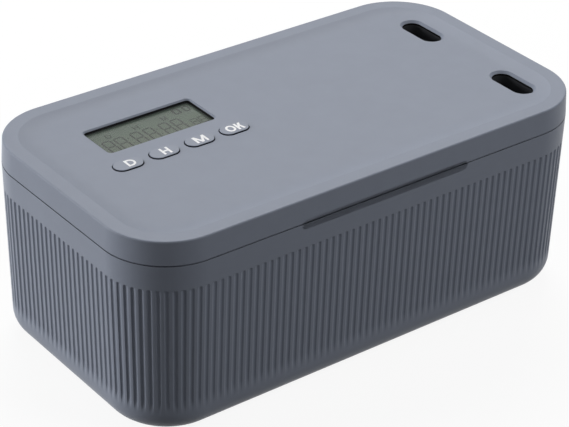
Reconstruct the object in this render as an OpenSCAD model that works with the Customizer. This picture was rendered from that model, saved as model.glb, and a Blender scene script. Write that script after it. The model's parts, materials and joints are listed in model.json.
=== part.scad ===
// Timed lock container: a ribbed moulded box with a hinged lid. A clock, a keypad and
// a motor-driven bolt sit in the lid. X runs along the box, the front is -Y, Z is up.
// The origin lies on the plane that the feet stand on, under the middle of the overall
// length and depth, hinge included. All sizes are in mm.

/* [Box] */
// Length over the top edge of the lid
lid_l = 260; // [250:1:290]
// Depth over the top edge of the lid, front to back
lid_w = 141; // [136:1:170]
// Corner radius of the lid's top edge
corner_r = 32; // [28:1:36]
// Height of the body, from its underside to the seam
body_h = 91.6; // [70:0.1:130]
// Height of the lid above the seam
lid_h = 12.1; // [12.1:0.1:16]
// How far each side of the lid leans out from its top edge to the seam
lid_flare = 0.65; // [0.3:0.05:1.2]
// How far each side of the body leans in from the seam to its base
body_draft = 2.1; // [1:0.1:3]
// Radius of the rounded foot all round the base
base_r = 11.5; // [9:0.5:14]
// Thickness of the body's walls
wall = 3.6; // [3:0.1:4.2]
// Thickness of the body's floor
floor_t = 3.2; // [2.6:0.1:4.5]
// Open seam between the body and the closed lid
seam_gap = 0.3; // [0.2:0.05:0.6]

/* [Ribs] */
// Spacing of the upright ribs round the body
rib_pitch = 3.83; // [3.2:0.01:6]
// Depth of the grooves between the ribs
rib_depth = 0.7; // [0.3:0.05:1]
// Width of the flat land of a rib
rib_land = 1.6; // [0.8:0.1:2.4]
// Distance from the seam down to the tops of the ribs
rib_drop = 12.5; // [10:0.5:25]
// Height over which the grooves fade out at the base
rib_fade = 8; // [4:0.5:14]

/* [Lid top] */
// Width of the raised rim round the lid
rim_w = 7.3; // [5:0.1:9]
// Width of the soft step from the rim down to the panel
step_w = 9; // [5:0.1:12]
// Depth of the panel below the rim
step_d = 1.3; // [0.6:0.1:2]
// Radius of the lid's top edge
edge_r = 0.8; // [0.4:0.1:1.5]
// Thickness of the lid's side walls at the seam
lid_wall = 3; // [2.4:0.1:3.4]
// Thickness of the lid's panel
plate_t = 2.2; // [1.8:0.1:2.4]

/* [Finger groove] */
// Length of the groove under the front edge of the lid
grip_l = 96.3; // [70:0.1:120]
// Sideways place of the groove's middle
grip_x = 1.3; // [-4:0.1:4]
// Height of the groove in the body, below the seam
grip_below = 2.9; // [2:0.1:4]
// Height of the groove in the lid, above the seam
grip_above = 1.45; // [0.8:0.05:2]
// Depth of the groove into the body's front wall
grip_d = 1.4; // [0.8:0.1:2]

/* [Display] */
// Length of the window's mouth
window_l = 60.7; // [50:0.1:66]
// Width of the window's mouth
window_w = 24.8; // [20:0.1:28]
// Distance from the lid's left edge to the window's middle
window_from_left = 67.8; // [60:0.1:74]
// Distance from the lid's back edge to the window's middle
window_from_back = 43.2; // [38:0.1:50]
// Corner radius of the window's mouth
window_r = 2.6; // [2:0.1:4]
// Width of the bevel round the window
window_bevel = 0.7; // [0.6:0.1:1.8]
// Depth of that bevel
window_bevel_d = 0.7; // [0.5:0.1:1.2]
// Thickness of the clear lens
lens_t = 0.7; // [0.5:0.1:0.8]

/* [Buttons] */
// Length of a button
button_l = 14.9; // [11:0.1:16]
// Width of a button
button_w = 8.4; // [7:0.1:10]
// Spacing of the four buttons
button_pitch = 19.7; // [18:0.1:21]
// Distance from the window's middle forward to the buttons' middle
button_drop = 25.5; // [24:0.1:28]
// Gap between a button and its hole
button_gap = 0.4; // [0.25:0.05:0.6]
// Height of a button above the panel
button_raise = 0.6; // [0.3:0.1:1]
// Travel of a button
button_travel = 0.8; // [0.4:0.1:0.9]

/* [Cable slots] */
// Length of a cable slot, front to back
slot_l = 25; // [18:0.5:28]
// Width of a cable slot
slot_w = 10.5; // [7:0.1:12]
// Distance from the lid's right edge to the slots' middle line
slot_from_right = 22.7; // [20:0.1:28]
// Distance from the lid's back edge to the back slot's middle
slot_from_back = 39.1; // [36:0.1:44]
// Distance between the middles of the two slots
slot_spacing = 68.6; // [60:0.1:72]
// Width of the soft bevel round a slot
slot_bevel = 1.2; // [0.5:0.1:1.8]

/* [Hinge] */
// Radius of a hinge knuckle
knuckle_r = 3; // [2.6:0.1:3.4]
// Width of a hinge knuckle
knuckle_w = 11; // [8:0.5:16]
// Radius of a hinge pin
hinge_pin_r = 1.25; // [1:0.05:1.5]
// Distance of the hinge axis behind the body's back face
hinge_out = 2.35; // [2.2:0.05:3]
// Distance of each hinge from the middle of the back
hinge_at = 60; // [40:1:85]

/* [Lock] */
// Travel of the lock bolt
bolt_travel = 8; // [6:0.5:9]
// Width of the lock bolt, front to back
bolt_w = 4; // [3.5:0.1:4.5]
// Height of the lock bolt
bolt_t = 3.1; // [2.8:0.1:3.2]
// Distance from the body's front face to the bolt's middle line
bolt_from_front = 13.2; // [13:0.1:16]
// Sideways place of the strike on the front wall
strike_x = 12; // [10:0.5:30]
// Thickness of the strike's steel
strike_t = 2; // [1.5:0.1:2.2]
// Tooth module of the drive pinion
gear_module = 0.7; // [0.65:0.05:0.75]

/* [Power] */
// Radius of a battery cell
cell_r = 5.25; // [5:0.05:5.3]
// Length of a battery cell
cell_l = 44.5; // [40:0.5:46]
// Thickness of the battery door
door_t = 1.2; // [1:0.1:1.3]

/* [Feet] */
// Radius of a rubber foot
foot_r = 7; // [5:0.5:8]
// Height of a foot that shows below the body
foot_h = 0.8; // [0.5:0.1:2]
// Depth of the recess that holds a foot
foot_seat = 1.2; // [0.8:0.1:1.4]

/* [Hidden] */

// Colours of the finishes
shell_grey = [0.42, 0.45, 0.51];
inner_grey = [0.20, 0.21, 0.23];
cut = 1;            // how far a cutter runs past what it cuts
fit = 0.05;         // side clearance of a screw, pin or shaft in its hole
slack = 0.2;        // side clearance of a loose fit
seat = 0.3;         // gap that a part keeps from the one that it rests over

// Heights
base_z = foot_h;
seam_z = base_z + body_h;
lid_z = seam_z + seam_gap;
top_z = seam_z + lid_h;
panel_z = top_z - step_d;
plate_z = panel_z - plate_t;

// The outline at the seam, which the body and the lid share
seam_l = lid_l + 2 * lid_flare;
seam_w = lid_w + 2 * lid_flare;
seam_r = corner_r + lid_flare;
outline_len = 2 * (seam_l + seam_w) - (8 - 2 * PI) * seam_r;
rib_count = round(outline_len / rib_pitch);
rib_step = outline_len / rib_count;
edge_chamfer = 0.3; // broken edge on both sides of the seam

// The tray that closes the lid from below
tray_gap = 0.8;
tray_inset = wall + tray_gap;
tray_wall = 2;
tray_drop = 5.5;
tray_floor_t = 2;
tray_z = seam_z - tray_drop;
deck_z = tray_z + tray_floor_t; // upper face of the tray's floor
tray_top = plate_z - slack;

// Display, board and buttons
window_x = window_from_left - lid_l / 2;
window_y = lid_w / 2 - window_from_back;
lens_lap = 2.3;     // how far the lens reaches under the window's edge
lens_l = window_l - 2 * window_bevel + 2 * lens_lap;
lens_w = window_w - 2 * window_bevel + 2 * lens_lap;
lcd_t = 2;
lcd_z = plate_z - fit - lcd_t;
board_t = 1.6;
board_z = deck_z + 5.6;
board_top = board_z + board_t;
board_l = 4 * button_pitch + 5;
board_w = window_w + button_drop + 5;
board_x = window_x;
board_y = window_y - button_drop / 2 + 2;
board_hole = 3.2;   // distance of a board screw from the board's edges
button_y = window_y - button_drop;
button_shift = 0.7; // the row of buttons is a little right of the window's middle
button_xs = [for (k = [0:3]) window_x + (k - 1.5) * button_pitch + button_shift];
frame_side = [3, 2.5]; // width of the display frame's ends and sides
strip_w = 2;        // a contact strip lies inside the frame
strip_in = 3.7;
board_pillar_r = 3;
chip_w = 10;
chip_t = 1.4;
chip_at = [-4, -2];
flange_t = 0.8;
flange_reach = 0.9;
stem_r = 2;
flange_z = plate_z - slack - flange_t;
stem_l = 0.65;
switch_w = 6;
switch_t = 2.2;
switch_floor = 0.6; // what is left under the plunger's hole
plunger_r = 1.5;

// Cable slots
slot_x = lid_l / 2 - slot_from_right;
slot_ys = [lid_w / 2 - slot_from_back, lid_w / 2 - slot_from_back - slot_spacing];
slot_wall = 1.6;

// Hinge
hinge_y = seam_w / 2 + hinge_out;
hinge_z = seam_z;
hinge_reach = hinge_out + knuckle_r; // how far the hinge stands behind the seam's outline
knuckle_gap = 0.2;  // end play between two knuckles
relief = 0.4;       // room round a knuckle
web_h = 2.6;

// Lock
gear_teeth = 10;
pitch_r = gear_module * gear_teeth / 2;
gear_base_r = pitch_r * cos(20);
gear_tip_r = pitch_r + gear_module;
rack_up = 0.45;     // height of a rack tooth above the pitch line
rack_down = 0.9;    // depth of a rack gap below the pitch line
gear_root_r = pitch_r - rack_up - 0.17;
tooth_pitch = PI * gear_module;
backlash = 0.12;
mesh_gap = 0.08;
bolt_y = bolt_from_front - seam_w / 2;
bolt_z = deck_z + seat;
bolt_top = bolt_z + bolt_t;
rack_z = bolt_top - rack_up;
gear_z = rack_z + pitch_r + mesh_gap;
bolt_nose = strike_x - strike_t / 2 - 2.5;
gear_x = bolt_nose - 24.5;
guide_wall = 1.8;
guide_h = 1.4;      // thickness of the bridges over the bolt
guide_y = bolt_w / 2 + slack;
bridge_l = 9;
tab = 6;            // size of a screw tab
motor_w = 12;
motor_h = 10;
gearbox_l = 9;
can_l = 15;
cradle_wall = 1.5;
cradle_h = 7;
cradle_past = 6;    // how far the cradle reaches past the gearbox along the can
bolt_tail = gear_x - max(bolt_travel + 10, motor_w / 2 + cradle_wall + 2 * tab + 1.5);
gear_w = bolt_w + 0.4;
shaft_r = 1.5;
gearbox_y = bolt_y + guide_y + guide_wall + slack;
strike_slot = 1;    // room round the strike where it enters the tray
strike_w = 8;
strike_bar = 2.2;   // height of the steel over the strike's window
strike_top = bolt_top + 0.5 + strike_bar;
strike_plate_t = 1.5;
strike_plate_w = 26;
strike_plate_h = 12;
strike_plate_z = tray_z - 1 - strike_plate_h;
strike_screw_in = [4, 5]; // distance of a strike screw from the plate's end and lower edge
strike_screw_l = strike_plate_t + wall - 1.5;

// Power
cell_gap = 0.7;
cell_pitch = 2 * cell_r + cell_gap;
bay_l = cell_l + 5.7;
bay_w = 3 * cell_pitch + 0.8;
bay_x = 26;
bay_y = window_y - 5.6;
bay_wall = 1.5;
bay_top = deck_z + 9;
cell_z = deck_z + seat + cell_r;
contact_t = 0.4;
contact_w = 8;
nub_l = 1.2;        // length and radius of a cell's raised terminal
nub_r = 1.9;
spring_r = [2.2, 3.4];
spring_l = bay_l - cell_l - 2 * contact_t - 0.2;
door_lap = 2;
door_ear_r = 4.2;
door_post_r = 3.2;
door_ear_x = bay_l / 2 + door_lap + 2.6;

// Screws: [shank radius, head radius, head height]
lid_screw = [1.25, 2.9, 1.6];
small_screw = [1, 1.9, 1.1];
door_screw_size = [1.2, 2.4, 1.4];
lid_screw_l = 10;
board_screw_l = 6;
door_screw_l = 8;
guide_screw_l = 3.4;
boss_r = 3.4;

// Places of the screws that hold the tray in the lid, from the corner centres and the sides
inner_x = seam_l / 2 - tray_inset - tray_wall - boss_r - 1;
inner_y = seam_w / 2 - tray_inset - tray_wall - boss_r - 1;
corner_in = 0.29 * (seam_r - tray_inset - tray_wall - boss_r - 1) + 1;
slot_skip = 30;     // the front right screw stands this far left of its corner, clear of the slot
side_screw_x = [-64, -4]; // the screws in the middle of the front and of the back
lid_screw_at = [
    [-(inner_x - corner_in), -(inner_y - corner_in)], [-(inner_x - corner_in), inner_y - corner_in],
    [inner_x - corner_in, inner_y - corner_in], [inner_x - slot_skip, -inner_y],
    [side_screw_x[1], inner_y], [strike_x + slot_skip, -inner_y], [side_screw_x[0], -inner_y]
];
board_screw_at = [for (x = [-1, 1], y = [-1, 1])
    [board_x + x * (board_l / 2 - board_hole), board_y + y * (board_w / 2 - board_hole)]];
foot_at = [for (x = [-1, 1], y = [-1, 1]) [x * (seam_l / 2 - seam_r - 2), y * (seam_w / 2 - seam_r)]];

// The pieces are drawn round the middle of the seam's outline, and this puts them in place
module placed() {
    translate([0, -hinge_reach / 2, 0]) children();
}

// Outlines ---------------------------------------------------------------------------

// A rectangle with round corners
module rounded(l, w, r, fn = 96) {
    square([l - 2 * r, w], center = true);
    square([l, w - 2 * r], center = true);
    for (x = [-1, 1], y = [-1, 1])
        translate([x * (l / 2 - r), y * (w / 2 - r)]) circle(r, $fn = fn);
}

// A slot outline with round ends, along X
module stadium(l, w, fn = 64) {
    square([l - w, w], center = true);
    for (x = [-1, 1])
        translate([x * (l - w) / 2, 0]) circle(w / 2, $fn = fn);
}

// A slab with the seam's outline, drawn in by an inset
module slab(inset, z0, z1) {
    translate([0, 0, z0])
        linear_extrude(z1 - z0)
            rounded(seam_l - 2 * inset, seam_w - 2 * inset, seam_r - inset);
}

// A mouth that widens upward to the height z, by grow over depth
module mouth(l, w, r, grow, depth, z) {
    over = 0.5;
    wide = grow * (depth + over) / depth;
    hull() {
        translate([0, 0, z - depth - 0.01]) linear_extrude(0.01) rounded(l, w, r, 32);
        translate([0, 0, z + over])
            linear_extrude(0.01) rounded(l + 2 * wide, w + 2 * wide, r + wide, 32);
    }
}

// Skins ------------------------------------------------------------------------------

// Point and outward direction on the right half of the seam's outline, s mm from the
// middle of the front
function on_side(s) =
    let (a = seam_l / 2 - seam_r, b = seam_w / 2 - seam_r, c = PI * seam_r / 2)
    s < a ? [s, -seam_w / 2, 0, -1] :
    s < a + c ? turn(a, -b, (s - a) / c * 90 - 90) :
    s < a + c + 2 * b ? [seam_l / 2, s - a - c - b, 1, 0] :
    s < a + 2 * c + 2 * b ? turn(a, b, (s - a - c - 2 * b) / c * 90) :
    [2 * a + 2 * c + 2 * b - s, seam_w / 2, 0, 1];
function turn(x, y, g) = [x + seam_r * cos(g), y + seam_r * sin(g), cos(g), sin(g)];

// The same for the whole outline
function on_outline(s) =
    let (t = (s % outline_len + outline_len) % outline_len)
    t < outline_len / 2 ? on_side(t) :
    let (q = on_side(outline_len - t)) [-q[0], q[1], -q[2], q[3]];

// One level of the ribbed skin: marks are [place within a rib, depth] pairs
function rib_ring(z, inset, marks) = [for (j = [0:rib_count - 1], m = marks)
    let (q = on_outline((j + m[0]) * rib_step + grip_x), d = inset + m[1])
    [q[0] - q[2] * d, q[1] - q[3] * d, z]];
plain = [[0.5, 0]];
function ribbed(depth) = let (h = rib_land / rib_step / 2) [[0, depth], [0.5 - h, 0], [0.5 + h, 0]];

// One level of a plain skin, with points at the corners only
arc_steps = 14;
function corner_ring(z, inset) =
    let (r = seam_r - inset, a = seam_l / 2 - seam_r, b = seam_w / 2 - seam_r)
    [for (c = [[1, -1, -90], [1, 1, 0], [-1, 1, 90], [-1, -1, 180]], k = [0:arc_steps])
        let (g = c[2] + 90 * k / arc_steps) [c[0] * a + r * cos(g), c[1] * b + r * sin(g), z]];

// Faces between two levels, given their first point numbers and counts
function strip(a, b, n) = [for (i = [0:n - 1]) let (k = (i + 1) % n)
    each [[a + i, b + k, a + k], [a + i, b + i, b + k]]];
function cap(a, n, middle, up) = [for (i = [0:n - 1]) let (k = (i + 1) % n)
    up ? [a + k, a + i, middle] : [a + i, a + k, middle]];

// A closed solid through a list of plain levels
module loft(levels) {
    n = len(levels[0]);
    last = len(levels) - 1;
    polyhedron(
        [for (q = levels) each q, [0, 0, levels[0][0][2]], [0, 0, levels[last][0][2]]],
        concat(
            cap(0, n, (last + 1) * n, false),
            [for (k = [0:last - 1]) each strip(k * n, (k + 1) * n, n)],
            cap(last * n, n, (last + 1) * n + 1, true)
        ), convexity = 6);
}

// How far the body's side has leaned in at a height above its underside
function lean(h) = body_draft * (1 - h / body_h);

// The outside of the body as one closed solid, standing on z = 0
module ribbed_skin() {
    n = rib_count;
    groove_top = body_h - rib_drop;
    foot = [for (g = [0:30:90]) let (h = base_r * (1 - cos(g)))
        rib_ring(h, lean(h) + base_r * (1 - sin(g)), plain)];
    grooves = [for (q = [[base_r + 0.5, 0], [base_r + 0.5 + rib_fade, rib_depth],
                         [groove_top - 0.8, rib_depth], [groove_top, 0]])
        rib_ring(q[0], lean(q[0]), ribbed(q[1]))];
    rim = [rib_ring(body_h - edge_chamfer, lean(body_h - edge_chamfer), plain),
           rib_ring(body_h, edge_chamfer, plain)];
    g0 = len(foot) * n;
    r0 = g0 + len(grooves) * 3 * n;
    middle = r0 + len(rim) * n;
    polyhedron(
        [for (q = foot) each q, for (q = grooves) each q, for (q = rim) each q,
         [0, 0, 0], [0, 0, body_h]],
        concat(
            cap(0, n, middle, false),
            [for (k = [0:len(foot) - 2]) each strip(k * n, (k + 1) * n, n)],
            spread(g0 - n, g0, n),
            [for (k = [0:len(grooves) - 2]) each strip(g0 + 3 * k * n, g0 + 3 * (k + 1) * n, 3 * n)],
            gather(r0 - 3 * n, r0, n),
            strip(r0, r0 + n, n),
            cap(r0 + n, n, middle + 1, true)
        ), convexity = 10);
}
// A plain level's point sits over the middle of a land, between marks 1 and 2 of its rib
function spread(a, b, n) = [for (j = [0:n - 1]) let (k = (j + 1) % n, f = b + 3 * j)
    each [[a + j, f, f + 1], [a + j, f + 1, f + 2], [a + j, f + 2, b + 3 * k], [a + j, b + 3 * k, a + k]]];
function gather(a, b, n) = [for (j = [0:n - 1]) let (k = (j + 1) % n, f = a + 3 * j)
    each [[f, b + j, f + 1], [f + 1, b + j, f + 2], [f + 2, b + j, a + 3 * k], [a + 3 * k, b + j, b + k]]];

// The inside of the body, standing on the same plane
module cavity_skin() {
    in_r = base_r - wall;
    loft([
        for (g = [0:30:90]) let (h = floor_t + in_r * (1 - cos(g)))
            corner_ring(h, wall + lean(h) + in_r * (1 - sin(g))),
        corner_ring(body_h + cut, wall)
    ]);
}

// The outside of the lid, with its rim, soft step and panel
function step_drop(t) = let (s = pow(t, 0.62)) step_d * s * s * (3 - 2 * s);
module lid_skin() {
    steps = 7;
    side = lid_flare / lid_h;
    loft([
        corner_ring(lid_z, edge_chamfer),
        corner_ring(lid_z + edge_chamfer, side * edge_chamfer),
        for (g = [0:30:90])
            corner_ring(top_z - edge_r * (1 - sin(g)), lid_flare + edge_r * (1 - cos(g))),
        for (k = [0:steps])
            corner_ring(top_z - step_drop(k / steps), lid_flare + rim_w + step_w * k / steps)
    ]);
}

// The finger groove, cut to a depth from the front of the seam's outline
module grip_cut(depth) {
    translate([grip_x, depth - seam_w / 2, seam_z + (grip_above - grip_below) / 2])
        rotate([90, 0, 0])
            linear_extrude(depth + cut)
                stadium(grip_l, grip_above + grip_below);
}

// Hinge ------------------------------------------------------------------------------

module on_hinges() {
    for (x = [-1, 1])
        translate([x * hinge_at, hinge_y, hinge_z]) children();
}
module bar_x(r, l) {
    rotate([0, 90, 0]) cylinder(r = r, h = l, center = true, $fn = 64);
}
// A knuckle with a web that joins it to a wall, above or below the axis
module knuckle(w, side) {
    bar_x(knuckle_r, w);
    translate([-w / 2, -hinge_out - 1.2, side > 0 ? seat : -seat - web_h])
        cube([w, hinge_out + 1.2, web_h]);
}
module pin_bore() {
    on_hinges() bar_x(hinge_pin_r + fit, 3 * knuckle_w + 4);
}

// The body ---------------------------------------------------------------------------

module body_shell() color(shell_grey) {
    difference() {
        union() {
            translate([0, 0, base_z]) difference() {
                ribbed_skin();
                cavity_skin();
            }
            on_hinges()
                for (k = [-1, 1]) translate([k * knuckle_w, 0, 0]) knuckle(knuckle_w, -1);
        }
        grip_cut(grip_d);
        pin_bore();
        on_hinges() bar_x(knuckle_r + relief, knuckle_w);
        for (p = foot_at)
            translate([p[0], p[1], base_z - cut])
                cylinder(r = foot_r + slack, h = foot_seat + cut, $fn = 64);
        strike_screw_places() cylinder(r = small_screw[0] + fit, h = strike_screw_l + slack, $fn = 32);
    }
}

module rubber_feet() color("dimgray") {
    for (p = foot_at) translate([p[0], p[1], 0])
        cylinder(r = foot_r, h = foot_h + foot_seat, $fn = 64);
}

module hinge_pins() color("silver") {
    on_hinges() bar_x(hinge_pin_r, 3 * knuckle_w - 1);
}

// The steel strike: a plate on the front wall with a lug that enters the tray
strike_y = 0.45 + wall - seam_w / 2;    // outer face of the plate, clear of the leaning wall
module strike_screw_places() {
    for (k = [-1, 1])
        translate([strike_x + k * (strike_plate_w / 2 - strike_screw_in[0]), strike_y + strike_plate_t,
                   strike_plate_z + strike_screw_in[1]])
            rotate([90, 0, 0]) children();
}
module strike_bracket() color("silver") {
    lug_y = bolt_y - strike_w / 2;
    difference() {
        union() {
            translate([strike_x - strike_plate_w / 2, strike_y, strike_plate_z])
                cube([strike_plate_w, strike_plate_t, strike_plate_h]);
            translate([strike_x - strike_t / 2, strike_y + strike_plate_t / 2, strike_plate_z])
                cube([strike_t, bolt_y + strike_w / 2 - strike_y - strike_plate_t / 2, strike_plate_h]);
            translate([strike_x - strike_t / 2, lug_y, strike_plate_z + strike_plate_h - cut])
                cube([strike_t, strike_w, strike_top - strike_plate_z - strike_plate_h + cut]);
        }
        translate([strike_x - strike_t, bolt_y - bolt_w / 2 - 0.5, bolt_z - 0.5])
            cube([2 * strike_t, bolt_w + 1, bolt_t + 1]);
        strike_screw_places() translate([0, 0, -cut])
            cylinder(r = small_screw[0] + fit, h = strike_plate_t + 2 * cut, $fn = 32);
    }
}
module strike_screws() color("silver") {
    strike_screw_places() {
        translate([0, 0, -small_screw[2]]) cylinder(r = small_screw[1], h = small_screw[2], $fn = 32);
        cylinder(r = small_screw[0], h = strike_screw_l, $fn = 32);
    }
}

// The lid ----------------------------------------------------------------------------

module lid_top() color(shell_grey) {
    difference() {
        union() {
            difference() {
                lid_skin();
                slab(lid_wall, lid_z - cut, plate_z);
            }
            for (p = lid_screw_at) translate([p[0], p[1], deck_z])
                cylinder(r = boss_r, h = plate_z - deck_z + plate_t / 2, $fn = 48);
            on_hinges() knuckle(knuckle_w - 2 * knuckle_gap, 1);
        }
        for (p = lid_screw_at) translate([p[0], p[1], deck_z - cut])
            cylinder(r = lid_screw[0] + fit, h = lid_screw_l + cut, $fn = 32);
        grip_cut(lid_wall + slack);
        pin_bore();
        on_hinges()
            for (k = [-1, 1]) translate([k * (knuckle_w + cut), 0, 0])
                bar_x(knuckle_r + relief, knuckle_w + 2 * cut + 2 * knuckle_gap);
        translate([window_x, window_y, 0]) {
            mouth(window_l - 2 * window_bevel, window_w - 2 * window_bevel, window_r - window_bevel,
                  window_bevel, window_bevel_d, panel_z);
            translate([0, 0, plate_z]) linear_extrude(plate_t)
                rounded(window_l - 2 * window_bevel, window_w - 2 * window_bevel, window_r - window_bevel);
            translate([0, 0, plate_z - cut]) linear_extrude(lens_t + cut)
                rounded(lens_l + 2 * slack, lens_w + 2 * slack, window_r);
        }
        for (x = button_xs) translate([x, button_y, plate_z - cut]) linear_extrude(plate_t + 2 * cut)
            stadium(button_l + 2 * button_gap, button_w + 2 * button_gap);
        for (y = slot_ys) translate([slot_x, y, 0]) rotate([0, 0, 90]) {
            mouth(slot_l, slot_w, slot_w / 2 - 0.01, slot_bevel, slot_bevel, panel_z);
            translate([0, 0, plate_z - cut]) linear_extrude(plate_t + 2 * cut) stadium(slot_l, slot_w);
        }
    }
}

// The moulded tray that closes the lid and carries the works
module lid_base() color(inner_grey) {
    difference() {
        union() {
            difference() {
                slab(tray_inset, tray_z, tray_top);
                slab(tray_inset + tray_wall, deck_z, tray_top + cut);
            }
            for (y = slot_ys) translate([slot_x, y, tray_z]) rotate([0, 0, 90])
                linear_extrude(tray_top - tray_z) stadium(slot_l + 2 * slot_wall, slot_w + 2 * slot_wall);
            for (p = board_screw_at) translate([p[0], p[1], tray_z])
                cylinder(r = board_pillar_r, h = board_z - tray_z, $fn = 48);
            translate([bay_x, bay_y, tray_z]) {
                linear_extrude(bay_top - tray_z)
                    square([bay_l + 2 * bay_wall, bay_w + 2 * bay_wall], center = true);
                translate([door_ear_x, 0, 0]) cylinder(r = door_post_r, h = bay_top - tray_z, $fn = 48);
            }
        }
        for (p = lid_screw_at) translate([p[0], p[1], tray_z - cut]) {
            cylinder(r = lid_screw[0] + slack, h = tray_floor_t + 2 * cut, $fn = 32);
            cylinder(r = lid_screw[1] + slack, h = 1 + cut, $fn = 32);
        }
        for (p = board_screw_at) translate([p[0], p[1], deck_z])
            cylinder(r = small_screw[0] + fit, h = board_z, $fn = 32);
        for (y = slot_ys) translate([slot_x, y, tray_z - cut]) rotate([0, 0, 90])
            linear_extrude(tray_top) stadium(slot_l, slot_w);
        translate([bay_x, bay_y, tray_z - cut]) {
            linear_extrude(tray_top) square([bay_l, bay_w], center = true);
            linear_extrude(door_t + cut + fit) door_outline(slack);
            translate([door_ear_x, 0, 0])
                cylinder(r = door_screw_size[0] + 2 * fit, h = bay_top - tray_z - 1, $fn = 32);
        }
        translate([strike_x - strike_t / 2 - strike_slot, bolt_y - strike_w / 2 - strike_slot, tray_z - cut])
            cube([strike_t + 2 * strike_slot, strike_w + 2 * strike_slot, tray_floor_t + 2 * cut]);
        for (p = concat(guide_screw_at, cradle_screw_at)) translate([p[0], p[1], tray_z - cut])
            cylinder(r = small_screw[0] + fit, h = tray_floor_t + 2 * cut, $fn = 32);
    }
}

module lid_screws() color("silver") {
    for (p = lid_screw_at) translate([p[0], p[1], tray_z + 1 - lid_screw[2]]) {
        cylinder(r = lid_screw[1], h = lid_screw[2], $fn = 32);
        cylinder(r = lid_screw[0], h = lid_screw_l, $fn = 32);
    }
}

// Display, board and buttons -----------------------------------------------------------

module display_lens() color([0.8, 0.85, 0.85, 0.4]) {
    translate([window_x, window_y, plate_z]) linear_extrude(lens_t)
        rounded(lens_l, lens_w, window_r);
}
module lcd_glass() color([0.45, 0.5, 0.45]) {
    translate([window_x, window_y, lcd_z]) linear_extrude(lcd_t)
        square([lens_l, lens_w], center = true);
}
module lcd_frame() color("white") {
    translate([window_x, window_y, board_top]) linear_extrude(lcd_z - board_top) difference() {
        square([lens_l, lens_w], center = true);
        square([lens_l - 2 * frame_side[0], lens_w - 2 * frame_side[1]], center = true);
    }
}
module contact_strips() color("dimgray") {
    for (k = [-1, 1])
        translate([window_x, window_y + k * (lens_w / 2 - strip_in), board_top])
            linear_extrude(lcd_z - board_top)
                square([lens_l - 2 * frame_side[0] - 1, strip_w], center = true);
}
module circuit_board() color("darkgreen") {
    difference() {
        translate([board_x, board_y, board_z]) linear_extrude(board_t)
            square([board_l, board_w], center = true);
        for (p = board_screw_at) translate([p[0], p[1], board_z - cut])
            cylinder(r = small_screw[0] + slack, h = board_t + 2 * cut, $fn = 32);
    }
}
module controller_chip() color("black") {
    translate([board_x + chip_at[0], board_y + chip_at[1], board_z - chip_t])
        linear_extrude(chip_t) square([chip_w, chip_w], center = true);
}
module board_screws() color("silver") {
    for (p = board_screw_at) translate([p[0], p[1], board_top]) {
        cylinder(r = small_screw[1], h = small_screw[2], $fn = 32);
        translate([0, 0, -board_screw_l]) cylinder(r = small_screw[0], h = board_screw_l, $fn = 32);
    }
}

module switch_bodies() color("black") {
    for (x = button_xs) translate([x, button_y, board_top]) difference() {
        linear_extrude(switch_t) square([switch_w, switch_w], center = true);
        translate([0, 0, switch_floor]) cylinder(r = plunger_r + slack, h = switch_t, $fn = 48);
    }
}
module button(k) color(shell_grey) {
    translate([button_xs[k], button_y, 0]) {
        translate([0, 0, flange_z]) linear_extrude(panel_z + button_raise - flange_z)
            stadium(button_l, button_w);
        translate([0, 0, flange_z]) linear_extrude(flange_t)
            stadium(button_l + 2 * flange_reach, button_w + 2 * flange_reach);
        translate([0, 0, flange_z - stem_l]) cylinder(r = stem_r, h = stem_l + flange_t, $fn = 48);
    }
}
module plunger(k) color("black") {
    low = board_top + switch_floor + button_travel + slack;
    translate([button_xs[k], button_y, low])
        cylinder(r = plunger_r, h = flange_z - stem_l - fit - low, $fn = 48);
}
module button_days() button(0);
module button_hours() button(1);
module button_minutes() button(2);
module button_ok() button(3);
module plunger_days() plunger(0);
module plunger_hours() plunger(1);
module plunger_minutes() plunger(2);
module plunger_ok() plunger(3);

// Power ------------------------------------------------------------------------------

// One cell, its terminal towards +X when way is 1 and towards -X when it is -1
module battery_cell(k, way) color([0.25, 0.27, 0.3]) {
    translate([bay_x, bay_y + (k - 1) * cell_pitch, cell_z]) rotate([0, way > 0 ? 90 : -90, 0])
        translate([0, 0, -cell_l / 2 + spring_l / 2]) {
            cylinder(r = cell_r, h = cell_l - nub_l, $fn = 64);
            cylinder(r = nub_r, h = cell_l, $fn = 48);
        }
}
module battery_cell_front() battery_cell(0, 1);
module battery_cell_middle() battery_cell(1, -1);
module battery_cell_back() battery_cell(2, 1);

module battery_contacts() color("silver") {
    for (x = [-1, 1], k = [-1:1])
        translate([bay_x + x * (bay_l / 2 - contact_t / 2), bay_y + k * cell_pitch, cell_z])
            cube([contact_t, contact_w, contact_w], center = true);
}
module battery_springs() color("silver") {
    for (k = [-1:1])
        translate([bay_x, bay_y + k * cell_pitch, cell_z]) rotate([0, k == 0 ? 90 : -90, 0])
            translate([0, 0, bay_l / 2 - contact_t - spring_l])
                cylinder(r1 = spring_r[0], r2 = spring_r[1], h = spring_l, $fn = 48);
}

module door_outline(grow) {
    square([bay_l + 2 * door_lap + 2 * grow, bay_w + 2 * door_lap + 2 * grow], center = true);
    translate([door_ear_x, 0]) circle(door_ear_r + grow, $fn = 48);
}
module battery_door() color(inner_grey) {
    translate([bay_x, bay_y, tray_z]) difference() {
        union() {
            linear_extrude(door_t) door_outline(0);
            linear_extrude(tray_floor_t) square([bay_l - 2 * slack, bay_w - 2 * slack], center = true);
        }
        translate([door_ear_x, 0, -cut])
            cylinder(r = door_screw_size[0] + fit, h = door_t + 2 * cut, $fn = 32);
    }
}
module door_screw() color("silver") {
    translate([bay_x + door_ear_x, bay_y, tray_z - door_screw_size[2]]) {
        cylinder(r = door_screw_size[1], h = door_screw_size[2], $fn = 32);
        cylinder(r = door_screw_size[0], h = door_screw_l, $fn = 32);
    }
}

// Leads ------------------------------------------------------------------------------

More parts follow.
